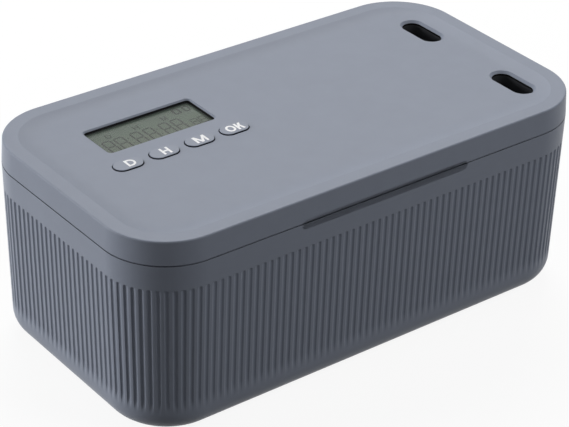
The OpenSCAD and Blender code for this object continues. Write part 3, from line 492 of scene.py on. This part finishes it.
def ribbed_body():
    ring, place, step = seam_outline((0.0, 0.13, 0.22, 0.278, 0.34, 0.66, 0.722, 0.78, 0.87))
    half = (step - RIB_LAND) / 2
    ball = (half ** 2 + RIB_DEPTH ** 2) / (2 * RIB_DEPTH)

    def groove(t, share=1.0):
        """How deep the skin is at each point, t mm past the round end of the grooves."""
        deep = []
        for at in place:
            reach = math.hypot(at, t)
            deep.append(max(0.0, math.sqrt(max(0.0, ball ** 2 - reach ** 2)) - ball + RIB_DEPTH) * share
                        if reach < half else 0.0)
        return deep

    def level(h, deep):
        return BASE_Z + h, [lean(h) + d for d in deep]

    flat = [0.0] * len(ring)
    levels = []
    for k in range(13):
        turn = math.radians(90 * k / 12)
        h = BASE_R * (1 - math.cos(turn))
        levels.append((BASE_Z + h, lean(h) + BASE_R * (1 - math.sin(turn))))
    low_end, top_end = BASE_R + 0.5, BODY_H - RIB_DROP
    for k in range(8):
        t = k / 7
        levels.append(level(low_end + RIB_FADE * t, groove(0, t * t * (3 - 2 * t))))
    for t in (0.0, 0.35, 0.6, 0.8, 0.92, 1.0):
        levels.append(level(top_end - half + half * t, groove(half * t)))
    edge = SEAM_EDGE_R
    levels.append(level(BODY_H - edge - 1.5, flat))
    for k in range(4):
        turn = math.radians(30 * k)
        levels.append((SEAM_Z - edge * (1 - math.sin(turn)),
                       lean(BODY_H - edge) * (k == 0) + edge * (1 - math.cos(turn))))
    for k in range(4):
        turn = math.radians(90 - 30 * k)
        levels.append((SEAM_Z - edge * (1 - math.sin(turn)), WALL - edge * (1 - math.cos(turn))))
    in_r = BASE_R - WALL
    for k in range(8):
        turn = math.radians(90 - 90 * k / 7)
        h = FLOOR_T + in_r * (1 - math.cos(turn))
        levels.append((BASE_Z + h, WALL + lean(h) + in_r * (1 - math.sin(turn))))
    return loft(ring, levels)


def grip_cutter(depth, edge=0.4):
    """The finger groove, its mouth rounded over and its bottom edge soft."""
    ring = stadium(GRIP_L, GRIP_ABOVE + GRIP_BELOW, 16)
    levels = [(-2, -edge - 1)]
    for k in range(5):
        turn = math.radians(22.5 * k)
        levels.append((edge * math.sin(turn) - 0.02, -edge * (1 - math.sin(turn)) if k else -edge - 0.02))
    levels += [(depth - 0.4, 0.0), (depth - 0.12, 0.12), (depth, 0.4)]
    place = Matrix.Translation((GRIP_X, -SEAM_W / 2, SEAM_Z + (GRIP_ABOVE - GRIP_BELOW) / 2))
    return loft(ring, levels, place @ Matrix.Rotation(-math.pi / 2, 4, "X") @ Matrix.Scale(-1, 4, (0, 1, 0)))


def knuckle(x, width, above):
    """One hinge knuckle with the web that joins it to its wall."""
    soft = 0.35
    tube = turned([(0, -width / 2), (KNUCKLE_R - soft, -width / 2), (KNUCKLE_R, -width / 2 + soft),
                   (KNUCKLE_R, width / 2 - soft), (KNUCKLE_R - soft, width / 2), (0, width / 2)], 48,
                  (x, HINGE_Y, HINGE_Z), "X")
    z = (HINGE_Z + 0.3, HINGE_Z + 2.9) if above else (HINGE_Z - 2.9, HINGE_Z - 0.3)
    half = width / 2 - 0.2
    web = block((x - half, HINGE_Y - HINGE_OUT - 1.2, z[0]), (x + half, HINGE_Y, z[1]), 0.15)
    return tube, web


def rod(radius, length, place, axis="X", steps=48):
    half = length / 2
    return turned([(0, -half), (radius, -half), (radius, half), (0, half)], steps, place, axis)


def make_body():
    steps = []
    for hx in HINGE_XS:
        for k in (-1, 1):
            tube, web = knuckle(hx + k * KNUCKLE_W, KNUCKLE_W, False)
            steps += [("UNION", tube), ("UNION", web)]
    steps.append(("DIFFERENCE", grip_cutter(GRIP_D)))
    for hx in HINGE_XS:
        steps.append(("DIFFERENCE", rod(BORE_R, 3 * KNUCKLE_W + 4, (hx, HINGE_Y, HINGE_Z))))
        steps.append(("DIFFERENCE", rod(KNUCKLE_R + KNUCKLE_ROOM, KNUCKLE_W, (hx, HINGE_Y, HINGE_Z))))
    seat = [(0, -1), (FOOT_SEAT_R, -1), (FOOT_SEAT_R, FOOT_SEAT_D), (0, FOOT_SEAT_D)]
    for x, y in FOOT_AT:
        steps.append(("DIFFERENCE", turned(seat, 48, (x, y, BASE_Z))))
    piece("body_moulding", combine(ribbed_body(), *steps), "base", shell_plastic,
          ["body_shell"])


# The lid -------------------------------------------------------------------------------------------


def step_drop(t):
    """How far the step has dropped at a share t of its width, steeper towards the rim."""
    s = t ** 0.62
    return STEP_D * s * s * (3 - 2 * s)


def lid_skin():
    ring = corners(SEAM_L, SEAM_W, SEAM_R, 28)
    side = LID_FLARE / (TOP_Z - SEAM_Z)
    edge = SEAM_EDGE_R
    levels = [(PLATE_Z, LID_WALL), (LID_Z + edge, LID_WALL), (LID_Z + edge * 0.3, LID_WALL - edge * 0.3),
              (LID_Z, LID_WALL - edge)]
    for k in range(4):
        turn = math.radians(30 * k)
        levels.append((LID_Z + edge * (1 - math.cos(turn)),
                       edge * (1 - math.sin(turn)) + side * edge * (k == 3)))
    for k in range(9):
        turn = math.radians(90 * k / 8)
        levels.append((TOP_Z - EDGE_R * (1 - math.sin(turn)), LID_FLARE + EDGE_R * (1 - math.cos(turn))))
    for k in range(17):
        t = (k / 16) ** 1.3
        levels.append((TOP_Z - step_drop(t), LID_FLARE + RIM_W + STEP_W * t))
    return loft(ring, levels)


def key_hole():
    return stadium(KEY_L + 2 * KEY_GAP, KEY_W + 2 * KEY_GAP, 16)


def rounded_mouth(edge):
    """Levels of a hole through the panel whose upper edge is rounded over."""
    levels = [(PLATE_Z - 1, 0.0)]
    for k in range(6):
        turn = math.radians(18 * k)
        levels.append((PANEL_Z - edge + edge * math.sin(turn), -edge * (1 - math.cos(turn))))
    levels.append((PANEL_Z + 1, -edge - 0.4))
    return levels


def slot_place(y):
    return Matrix.Translation((SLOT_X, y, 0)) @ Matrix.Rotation(math.pi / 2, 4, "Z")


def sleeve(ring, bottom, top, thick, place):
    """A ring-shaped wall that follows an outline on its inside."""
    return combine(loft(ring, [(bottom, 0.0), (top, 0.0)], place),
                   ("DIFFERENCE", loft(ring, [(bottom - 1, thick), (top + 1, thick)], place)))


def make_painted_shade_linings():
    """Painted shade: dark rings that line the key holes and the cable slots under their bevels, where their
    walls are in shade.
    """
    holes = [sleeve(key_hole(), PLATE_Z + 0.05, PANEL_Z - 0.2, 0.06, Matrix.Translation((x, KEY_Y, 0)))
             for x in KEY_XS]
    piece("key_hole_shade_linings", gather(*holes), "lid", painted_shade_black)
    slots = [sleeve(stadium(SLOT_L + 2 * SHADE_LINER_T, SLOT_W + 2 * SHADE_LINER_T, 20), PLATE_Z + 0.02,
                    PANEL_Z - SLOT_BEVEL - 0.03, SHADE_LINER_T, slot_place(y)) for y in SLOT_YS]
    piece("cable_slot_shade_linings", gather(*slots), "lid", painted_shade_black)


def make_lid():
    steps = []
    boss = [(0, BOSS_LOW_Z), (BOSS_R, BOSS_LOW_Z), (BOSS_R, PLATE_Z + 1), (0, PLATE_Z + 1)]
    for x, y in LID_SCREW_AT:
        steps.append(("UNION", turned(boss, 32, (x, y, 0))))
    for hx in HINGE_XS:
        tube, web = knuckle(hx, KNUCKLE_W - 0.4, True)
        steps += [("UNION", tube), ("UNION", web)]
    steps.append(("DIFFERENCE", grip_cutter(LID_WALL + 0.2, 0.3)))
    for hx in HINGE_XS:
        steps.append(("DIFFERENCE", rod(BORE_R, 3 * KNUCKLE_W + 4, (hx, HINGE_Y, HINGE_Z))))
        for k in (-1, 1):
            steps.append(("DIFFERENCE", rod(KNUCKLE_R + KNUCKLE_ROOM, KNUCKLE_W + 2.4,
                                            (hx + k * (KNUCKLE_W + 1), HINGE_Y, HINGE_Z))))
    for x, y in LID_SCREW_AT:
        steps.append(("DIFFERENCE", rod(PILOT_R, PILOT_L, (x, y, PILOT_Z), "Z", 24)))
    at = Matrix.Translation(WINDOW)
    low_bevel = PANEL_Z - WINDOW_BEVEL
    bevel = [(PLATE_Z + 0.1, 0.0), (low_bevel, 0.0), (low_bevel + 0.06, -0.04),
             (PANEL_Z - 0.1, 0.08 - WINDOW_BEVEL), (PANEL_Z - 0.01, -WINDOW_BEVEL - 0.02),
             (PANEL_Z + 0.5, -WINDOW_BEVEL - 0.7)]
    steps.append(("DIFFERENCE", loft(corners(OPENING_L, OPENING_W, OPENING_R, 10), bevel, at)))
    steps.append(("DIFFERENCE", loft(corners(LENS_L + 0.4, LENS_W + 0.4, LENS_R, 10),
                                     [(PLATE_Z - 1, 0.0), (PLATE_Z + 0.7, 0.0)], at)))
    for x in KEY_XS:
        steps.append(("DIFFERENCE", loft(key_hole(), rounded_mouth(0.15), Matrix.Translation((x, KEY_Y, 0)))))
    low_bevel = PANEL_Z - SLOT_BEVEL
    mouth = [(PLATE_Z - 1, -SHADE_LINER_T), (low_bevel - 0.02, -SHADE_LINER_T), (low_bevel, 0.0),
             (low_bevel + 0.1, -0.06), (PANEL_Z - 0.14, 0.16 - SLOT_BEVEL), (PANEL_Z - 0.02, -SLOT_BEVEL),
             (PANEL_Z + 1, -SLOT_BEVEL - 1)]
    for y in SLOT_YS:
        steps.append(("DIFFERENCE", loft(stadium(SLOT_L, SLOT_W, 20), mouth, slot_place(y))))
    piece("lid_moulding", combine(lid_skin(), *steps), "lid", shell_plastic, ["lid_top"])


# Display -------------------------------------------------------------------------------------------


def make_display():
    at = Matrix.Translation(WINDOW)
    lens = loft(corners(LENS_L, LENS_W, LENS_R, 10),
                [(PLATE_Z, 0.15), (PLATE_Z + 0.05, 0.0), (PLATE_Z + 0.65, 0.0), (PLATE_Z + 0.7, 0.15)], at)
    piece("window_lens", lens, "lid", clear_lens, ["display_lens"])
    glass = loft(corners(LENS_L, LENS_W, 0.3, 3),
                 [(GLASS_Z - 2, 0.1), (GLASS_Z - 1.9, 0.0), (GLASS_Z - 0.1, 0.0), (GLASS_Z, 0.1)], at)
    piece("display_glass", glass, "lid", lcd_glass, ["lcd_glass"])
    # black paint hides the glass's rim and is partly painted shade for the glass in shade under the panel's
    # edge, and a black liner on the window's wall over the lens is painted shade; the paint's corner radius
    # has to be more than its width, or its inner outline crosses itself
    paint = sleeve(corners(LENS_L - 0.6, LENS_W - 0.6, LENS_R, 6), GLASS_Z + 0.002, GLASS_Z + 0.03, 1.95, at)
    piece("display_border", paint, "lid", painted_shade_black, smooth=False)
    # painted shade: a black liner on the window's wall, where the wall is in shade
    wall_liner_shade = sleeve(corners(OPENING_L - 0.02, OPENING_W - 0.02, OPENING_R, 10), PLATE_Z + 0.71,
                    PANEL_Z - WINDOW_BEVEL - 0.02, 0.15, at)
    piece("window_wall_painted_shade", wall_liner_shade, "lid", painted_shade_black)


def slab(outline, z, thick, place=Matrix.Identity(4)):
    """A flat solid with a given outline."""
    bm = bmesh.new()
    bmesh.ops.create_circle(bm, segments=len(outline), radius=1, cap_ends=True)
    for vert, (x, y) in zip(bm.verts, outline):
        vert.co = (x, y, z)
    top = bmesh.ops.extrude_face_region(bm, geom=bm.faces[:])["geom"]
    bmesh.ops.translate(bm, vec=(0, 0, thick), verts=[v for v in top if isinstance(v, bmesh.types.BMVert)])
    bmesh.ops.recalc_face_normals(bm, faces=bm.faces)
    bmesh.ops.transform(bm, matrix=place, verts=bm.verts)
    return bm


SEGMENT_Z, SEGMENT_T = GLASS_Z + 0.002, 0.03


def bar(cx, cy, length, width, turn=0.0):
    """One display segment: a thin pointed bar."""
    tip, half = width / 2, length / 2
    outline = ((half, 0), (half - tip, tip), (tip - half, tip), (-half, 0), (tip - half, -tip),
               (half - tip, -tip))
    place = Matrix.Translation((cx, cy, 0)) @ Matrix.Rotation(turn, 4, "Z")
    return slab(outline, SEGMENT_Z, SEGMENT_T, place)


def digit(x, y, width, height, stroke):
    """A blank seven-segment cell."""
    reach, rise = width - stroke * 0.35, height / 2 - stroke * 0.35
    parts = [bar(x, y + k * height / 2, reach, stroke) for k in (-1, 0, 1)]
    for i in (-1, 1):
        parts += [bar(x + i * width / 2, y + k * height / 4, rise, stroke, math.pi / 2) for k in (-1, 1)]
    return parts


def glyph(kind, x, y, wide, high, stroke, z, thick):
    """A plain letter of even strokes, as one thin solid centred on a point."""
    a, b, s = wide / 2, high / 2, stroke
    outlines = {
        "H": ((-a, -b), (s - a, -b), (s - a, -s / 2), (a - s, -s / 2), (a - s, -b), (a, -b),
              (a, b), (a - s, b), (a - s, s / 2), (s - a, s / 2), (s - a, b), (-a, b)),
        "M": ((-a, -b), (s - a, -b), (s - a, b - 2.1 * s), (-0.45 * s, -b), (0.45 * s, -b),
              (a - s, b - 2.1 * s), (a - s, -b), (a, -b), (a, b), (a - 1.15 * s, b), (0, 1.6 * s - b),
              (1.15 * s - a, b), (-a, b)),
        "K": ((-a, -b), (s - a, -b), (s - a, -1.1 * s), (1.75 * s - a, -0.25 * s), (a - 1.2 * s, -b),
              (a, -b), (2.4 * s - a, 0.55 * s), (a - 0.1 * s, b), (a - 1.3 * s, b), (s - a, 0.25 * s),
              (s - a, b), (-a, b)),
    }
    place = Matrix.Translation((x, y, 0))
    if kind in outlines:
        return slab(outlines[kind], z, thick, place)

    def round_form(inset):
        turns = [math.radians(t) for t in (range(-90, 91, 10) if kind == "D" else range(-180, 180, 10))]
        middle = -0.1 * wide if kind == "D" else 0.0
        points = [(middle + (a - middle - inset) * math.cos(t), (b - inset) * math.sin(t)) for t in turns]
        return points + ([(inset - a, b - inset), (inset - a, inset - b)] if kind == "D" else [])

    return combine(slab(round_form(0.0), z, thick, place),
                   ("DIFFERENCE", slab(round_form(s), z - 1, thick + 2, place)))


DIGIT_XS, DIGIT_Y, DIGIT = (-86.0, -79.4, -70.5, -63.4, -54.75, -47.9), 23.1, (4.5, 11.2, 0.85)
SMALL_XS, SMALL_Y, SMALL_DIGIT = (-40.25, -35.75), 21.4, (3.3, 5.6, 0.6)
COLON_XS, COLON_YS, COLON_DOT = (-75.2, -59.4), (20.6, 25.6), (1.0, 0.9)
MARK_XS, MARK_Y, MARK = {"D": -82.0, "H": -66.7, "M": -50.8}, 32.2, (2.9, 3.8, 0.5)
FRAME_XS, FRAME_Y, FRAME_H, FRAME_R, FRAME_STROKE = ((-42.1, 4.0), (-36.5, 3.6)), 34.6, 5.2, 1.0, 0.9


def make_digits():
    """Three pairs of digit cells with marks over them, two small cells and two blank frames."""
    parts = []
    for x in DIGIT_XS:
        parts += digit(x, DIGIT_Y, *DIGIT)
    for x in COLON_XS:
        parts += [bar(x, y, *COLON_DOT) for y in COLON_YS]
    for x in SMALL_XS:
        parts += digit(x, SMALL_Y, *SMALL_DIGIT)
    for kind, x in MARK_XS.items():
        parts.append(glyph(kind, x, MARK_Y, *MARK, SEGMENT_Z, SEGMENT_T))
    for x, wide in FRAME_XS:
        parts.append(sleeve(corners(wide, FRAME_H, FRAME_R, 5), SEGMENT_Z, SEGMENT_Z + SEGMENT_T,
                            FRAME_STROKE, Matrix.Translation((x, FRAME_Y, 0))))
    piece("display_segments", gather(*parts), "lid", segment_ink, smooth=False)


# Keys ----------------------------------------------------------------------------------------------


# each letter with its middle and its width
KEY_LETTERS = {"days": (("D", -89.6, 4.9),), "hours": (("H", -70.5, 4.5),), "minutes": (("M", -51.06, 6.5),),
               "ok": (("O", -33.8, 5.0), ("K", -28.8, 3.9))}
LETTER_Y, LETTER_H, LETTER_STROKE, LETTER_T = 2.0, 5.8, 1.15, 0.05
FLANGE_Z, FLANGE_TOP, FLANGE_OUT, CAP_EDGE_R, SKIRT_T = 100.0, 100.8, 0.9, 0.25, 0.12
STEM = ((0, 99.35), (1.8, 99.35), (2, 99.55), (2, 100.3), (0, 100.3))


def make_keys():
    """Caps with a flange and a stem below, a dark skirt round each that is partly painted shade for the gap
    round the cap, and its letters on top.
    """
    cap = stadium(KEY_L, KEY_W, 16)
    edge, skirt_top = CAP_EDGE_R, KEY_TOP - 0.29
    levels = [(FLANGE_Z, 0.2 - FLANGE_OUT), (FLANGE_Z + 0.2, -FLANGE_OUT), (FLANGE_TOP, -FLANGE_OUT),
              (FLANGE_TOP, SKIRT_T), (skirt_top, SKIRT_T), (skirt_top + 0.02, 0.0)]
    for k in range(6):
        turn = math.radians(18 * k)
        levels.append((KEY_TOP - edge * (1 - math.sin(turn)), edge * (1 - math.cos(turn))))
    for (name, marks), x in zip(KEY_LETTERS.items(), KEY_XS):
        at = Matrix.Translation((x, KEY_Y, 0))
        stem = turned(STEM, 32, (x, KEY_Y, 0))
        key = combine(loft(cap, levels, at), ("UNION", stem))
        piece(f"{name}_key_cap", key, f"{name}_key", button_plastic, [f"button_{name}"])
        # a dark keypad skirt, and partly painted shade in the gap round the cap
        skirt_and_shade = sleeve(cap, FLANGE_TOP + 0.05, skirt_top - 0.01, SKIRT_T - 0.005, at)
        piece(f"{name}_key_skirt_and_shade", skirt_and_shade, f"{name}_key", painted_shade_black)
        ink = [glyph(kind, middle, LETTER_Y, wide, LETTER_H, LETTER_STROKE, KEY_TOP - 0.01, LETTER_T)
               for kind, middle, wide in marks]
        piece(f"{name}_key_letter", gather(*ink), f"{name}_key", key_ink, smooth=False)


# The works and the fastenings --------------------------------------------------------------------------


def wire(points, radius, sides=10):
    """A round wire with closed ends along a line of points."""
    points = [Vector(p) for p in points]
    turns = [2 * math.pi * j / sides for j in range(sides)]
    rings = []
    side = Vector((0, 0, 1))
    for k, point in enumerate(points):
        along = (points[min(k + 1, len(points) - 1)] - points[max(k - 1, 0)]).normalized()
        if abs(side.dot(along)) < 0.99:
            side = (side - along * side.dot(along)).normalized()
        else:
            side = along.orthogonal()
        other = along.cross(side)
        rings.append([point + (side * math.cos(t) + other * math.sin(t)) * radius for t in turns])
    return skin(rings)


# each cell with its row and whether its spring is at the right end of the bay
CELLS, CELL_Z, CELL_R = (("front", 10.5, False), ("middle", 21.7, True), ("back", 32.9, False)), 94.45, 5.25
BAY_ENDS, SPRING_L, SPRING_RS, SPRING_TURNS, SPRING_WIRE_R = (1.3, 50.7), 4.7, (3.05, 1.9), 4, 0.3
BAND_XS, BAND_HALF, BAND_IN, BAND_OUT = (40.5, 11.5), 3.6, CELL_R - 0.2, CELL_R + 0.02


def make_springs():
    """A conical coil behind each cell."""
    coils = []
    steps = 16 * SPRING_TURNS
    for _, y, right in CELLS:
        line = []
        for k in range(steps + 1):
            t, turn = k / steps, 2 * math.pi * SPRING_TURNS * k / steps
            wide = SPRING_RS[0] + (SPRING_RS[1] - SPRING_RS[0]) * t
            out = SPRING_WIRE_R + (SPRING_L - 2 * SPRING_WIRE_R) * t
            x = BAY_ENDS[1] - out if right else BAY_ENDS[0] + out
            line.append((x, y + wide * math.cos(turn), CELL_Z + wide * math.sin(turn)))
        coils.append(wire(line, SPRING_WIRE_R))
    piece("battery_coils", gather(*coils), "lid", bright_steel, ["battery_springs"],
          crease=60)


def make_cells():
    """The cells, each with the coloured band of its label at the raised end."""
    for name, y, right in CELLS:
        node = f"battery_cell_{name}"
        piece(f"aaa_cell_{name}", from_cad(node, 0.35), "lid", cell_jacket, [node])
        band = turned([(BAND_IN, -BAND_HALF), (BAND_OUT, -BAND_HALF), (BAND_OUT, BAND_HALF),
                       (BAND_IN, BAND_HALF), (BAND_IN, -BAND_HALF)], 48, (BAND_XS[right], y, CELL_Z), "X")
        piece(f"aaa_band_{name}", band, "lid", label_band)


LID_HEAD_Z, DOOR_SCREW, RECESS_DEPTH = 86.3, (55.7, 21.7, 85.5), 0.8
# each piece: its name, its node, the body it rides on, how far its edges are rounded, and its cross
# recesses, each with a place, the way it faces and its reach
DRESSED = (
    ("foot_pads", "rubber_feet", "base", 0.45, ()),
    ("strike_plate", "strike_bracket", "base", 0.2, ()),
    ("strike_plate_screws", "strike_screws", "base", 0.18, [((x, -64.5, 78.9), "Y", 1.3) for x in (3, 21)]),
    ("hinge_rods", "hinge_pins", "base", 0.3, ()),
    ("lid_tray", "lid_base", "lid", 0.3, ()),
    ("tray_screws", "lid_screws", "lid", 0.3, [((x, y, LID_HEAD_Z), "-Z", 1.9) for x, y in LID_SCREW_AT]),
    ("display_frame", "lcd_frame", "lid", 0.25, ()),
    ("conductive_strips", "contact_strips", "lid", 0.3, ()),
    ("timer_board", "circuit_board", "lid", 0.12, ()),
    ("timer_chip", "controller_chip", "lid", 0.2, ()),
    ("timer_board_screws", "board_screws", "lid", 0.18,
     [((x, y, 97.2), "Z", 1.3) for x in (-100.9, -23.5) for y in (-7.9, 41.0)]),
    ("dome_switches", "switch_bodies", "lid", 0.2, ()),
    ("cell_contact_plates", "battery_contacts", "lid", 0.12, ()),
    ("cell_leads", "battery_leads", "lid", 0.0, ()),
    ("motor_housing", "motor_can", "lid", 0.6, ()),
    ("reduction_gearbox", "motor_gearbox", "lid", 0.4, ()),
    ("motor_saddle", "motor_cradle", "lid", 0.25, ()),
    ("saddle_screws", "cradle_screws", "lid", 0.18, [((x, -49.25, 91.53), "Z", 1.3) for x in (-26.5, -5.5)]),
    ("motor_wires", "motor_leads", "lid", 0.0, ()),
    ("bolt_bridge", "bolt_guide", "lid", 0.25, ()),
    ("bolt_bridge_screws", "guide_screws", "lid", 0.18, [((x, -51.45, 91.6), "Z", 1.3) for x in (-33, 3)]),
    ("days_plunger", "plunger_days", "days_key", 0.2, ()),
    ("hours_plunger", "plunger_hours", "hours_key", 0.2, ()),
    ("minutes_plunger", "plunger_minutes", "minutes_key", 0.2, ()),
    ("ok_plunger", "plunger_ok", "ok_key", 0.2, ()),
    ("sliding_bolt", "lock_bolt", "bolt", 0.15, ()),
    ("rack_pinion", "drive_pinion", "pinion", 0.1, ()),
    ("output_shaft", "motor_shaft", "pinion", 0.2, ()),
    ("battery_cover", "battery_door", "battery_cover", 0.3, ()),
    ("battery_cover_screw", "door_screw", "battery_cover", 0.25, [(DOOR_SCREW, "-Z", 1.6)]),
)


def dress_works():
    slots = {part["node"]: part["material_slot"] for part in frame["record"]["subparts"]}
    for name, node, body, soft, recesses in DRESSED:
        cuts = [cut for place, axis, reach in recesses
                for cut in cross_recess(place, axis, reach, RECESS_DEPTH)]
        piece(name, from_cad(node, soft, cuts), body, BY_SLOT[slots[node]], [node])


make_body()
make_lid()
make_painted_shade_linings()
make_display()
make_digits()
make_keys()

BY_SLOT = {"shell_plastic": shell_plastic, "button_plastic": button_plastic, "inner_plastic": inner_plastic,
           "clear_lens": clear_lens, "lcd_glass": lcd_glass, "white_plastic": white_plastic,
           "black_elastomer": black_elastomer, "board_laminate": board_laminate,
           "black_plastic": black_plastic, "bright_steel": bright_steel, "motor_steel": motor_steel,
           "gearbox_brass": gearbox_brass, "cell_jacket": cell_jacket, "lead_insulation": lead_insulation,
           "pinion_acetal": pinion_acetal, "foot_rubber": foot_rubber}
for part in frame["record"]["subparts"]:
    node = NODES[part["node"]]
    node.data.materials.clear()
    node.data.materials.append(BY_SLOT[part["material_slot"]])
dress_works()
make_springs()
make_cells()

# Floor, backdrop and lights --------------------------------------------------------------------------

PICTURE_RAYS = ("Is Camera Ray", "Is Glossy Ray", "Is Transmission Ray")
FLOOR_TONE, FLOOR_SEEN, FLOOR_GLOW, WORLD_FILL = 0.10, 0.02, 0.90, 0.11


def seen_by_picture(finish):
    """1 for the rays that the picture shows, 0 for those that light the object."""
    rays = [finish.node("LightPath", out=name) for name in PICTURE_RAYS]
    return finish.node("Math", {"operation": "ADD", "use_clamp": True}, {0: rays[0] + rays[1], 1: rays[2]})


def add_floor():
    """Paper that glows for the picture and takes a faint shadow, but throws little light on the object."""
    bm = bmesh.new()
    bmesh.ops.create_grid(bm, x_segments=1, y_segments=1, size=4)
    floor = object_from(bm, "floor")
    paper = Finish("floor", (0.8, 0.8, 0.8), 0.9, Specular_IOR_Level=0.0, Emission_Strength=1.0)
    seen = seen_by_picture(paper)
    paper.feed("Base Color", seen * FLOOR_SEEN + FLOOR_TONE)
    paper.feed("Emission Color", seen * FLOOR_GLOW)
    floor.data.materials.append(paper.material)


def add_world():
    """White where the picture shows it, and a dim even light on the object."""
    world = bpy.data.worlds.new("world")
    bpy.context.scene.world = world
    world.use_nodes = True
    tree = world.node_tree
    background = next(n for n in tree.nodes if n.type == "BACKGROUND")
    background.inputs["Color"].default_value = (1, 1, 1, 1)
    path = tree.nodes.new("ShaderNodeLightPath")
    level = path.outputs[PICTURE_RAYS[0]]
    for name in PICTURE_RAYS[1:]:
        add = tree.nodes.new("ShaderNodeMath")
        add.operation, add.use_clamp = "ADD", True
        tree.links.new(level, add.inputs[0])
        tree.links.new(path.outputs[name], add.inputs[1])
        level = add.outputs[0]
    scale = tree.nodes.new("ShaderNodeMath")
    scale.operation = "MULTIPLY_ADD"
    scale.inputs[1].default_value, scale.inputs[2].default_value = 1 - WORLD_FILL, WORLD_FILL
    tree.links.new(level, scale.inputs[0])
    tree.links.new(scale.outputs[0], background.inputs["Strength"])


def add_softbox(name, place, target, width, height, level):
    """A soft lamp; at level 1 a white card that faces it at the target is about white."""
    data = bpy.data.lights.new(name, "AREA")
    data.shape, data.size, data.size_y = "RECTANGLE", width, height
    place, target = Vector(place), Vector(target)
    data.energy = level * math.pi ** 2 * (place - target).length_squared
    lamp = bpy.data.objects.new(name, data)
    bpy.context.scene.collection.objects.link(lamp)
    aim(lamp, place, target)


MIDDLE = (0, 0, 0.08)
add_floor()
add_world()
add_softbox("back_right_softbox", (0.72, 0.99, 1.40), MIDDLE, 1.2, 1.0, 0.53)
add_softbox("back_left_softbox", (-1.25, 0.95, 0.38), MIDDLE, 0.8, 0.7, 0.74)
add_softbox("front_top_softbox", (0.62, -0.93, 1.05), MIDDLE, 0.6, 0.6, 0.28)

scene = bpy.context.scene
scene.view_settings.view_transform = "Standard"
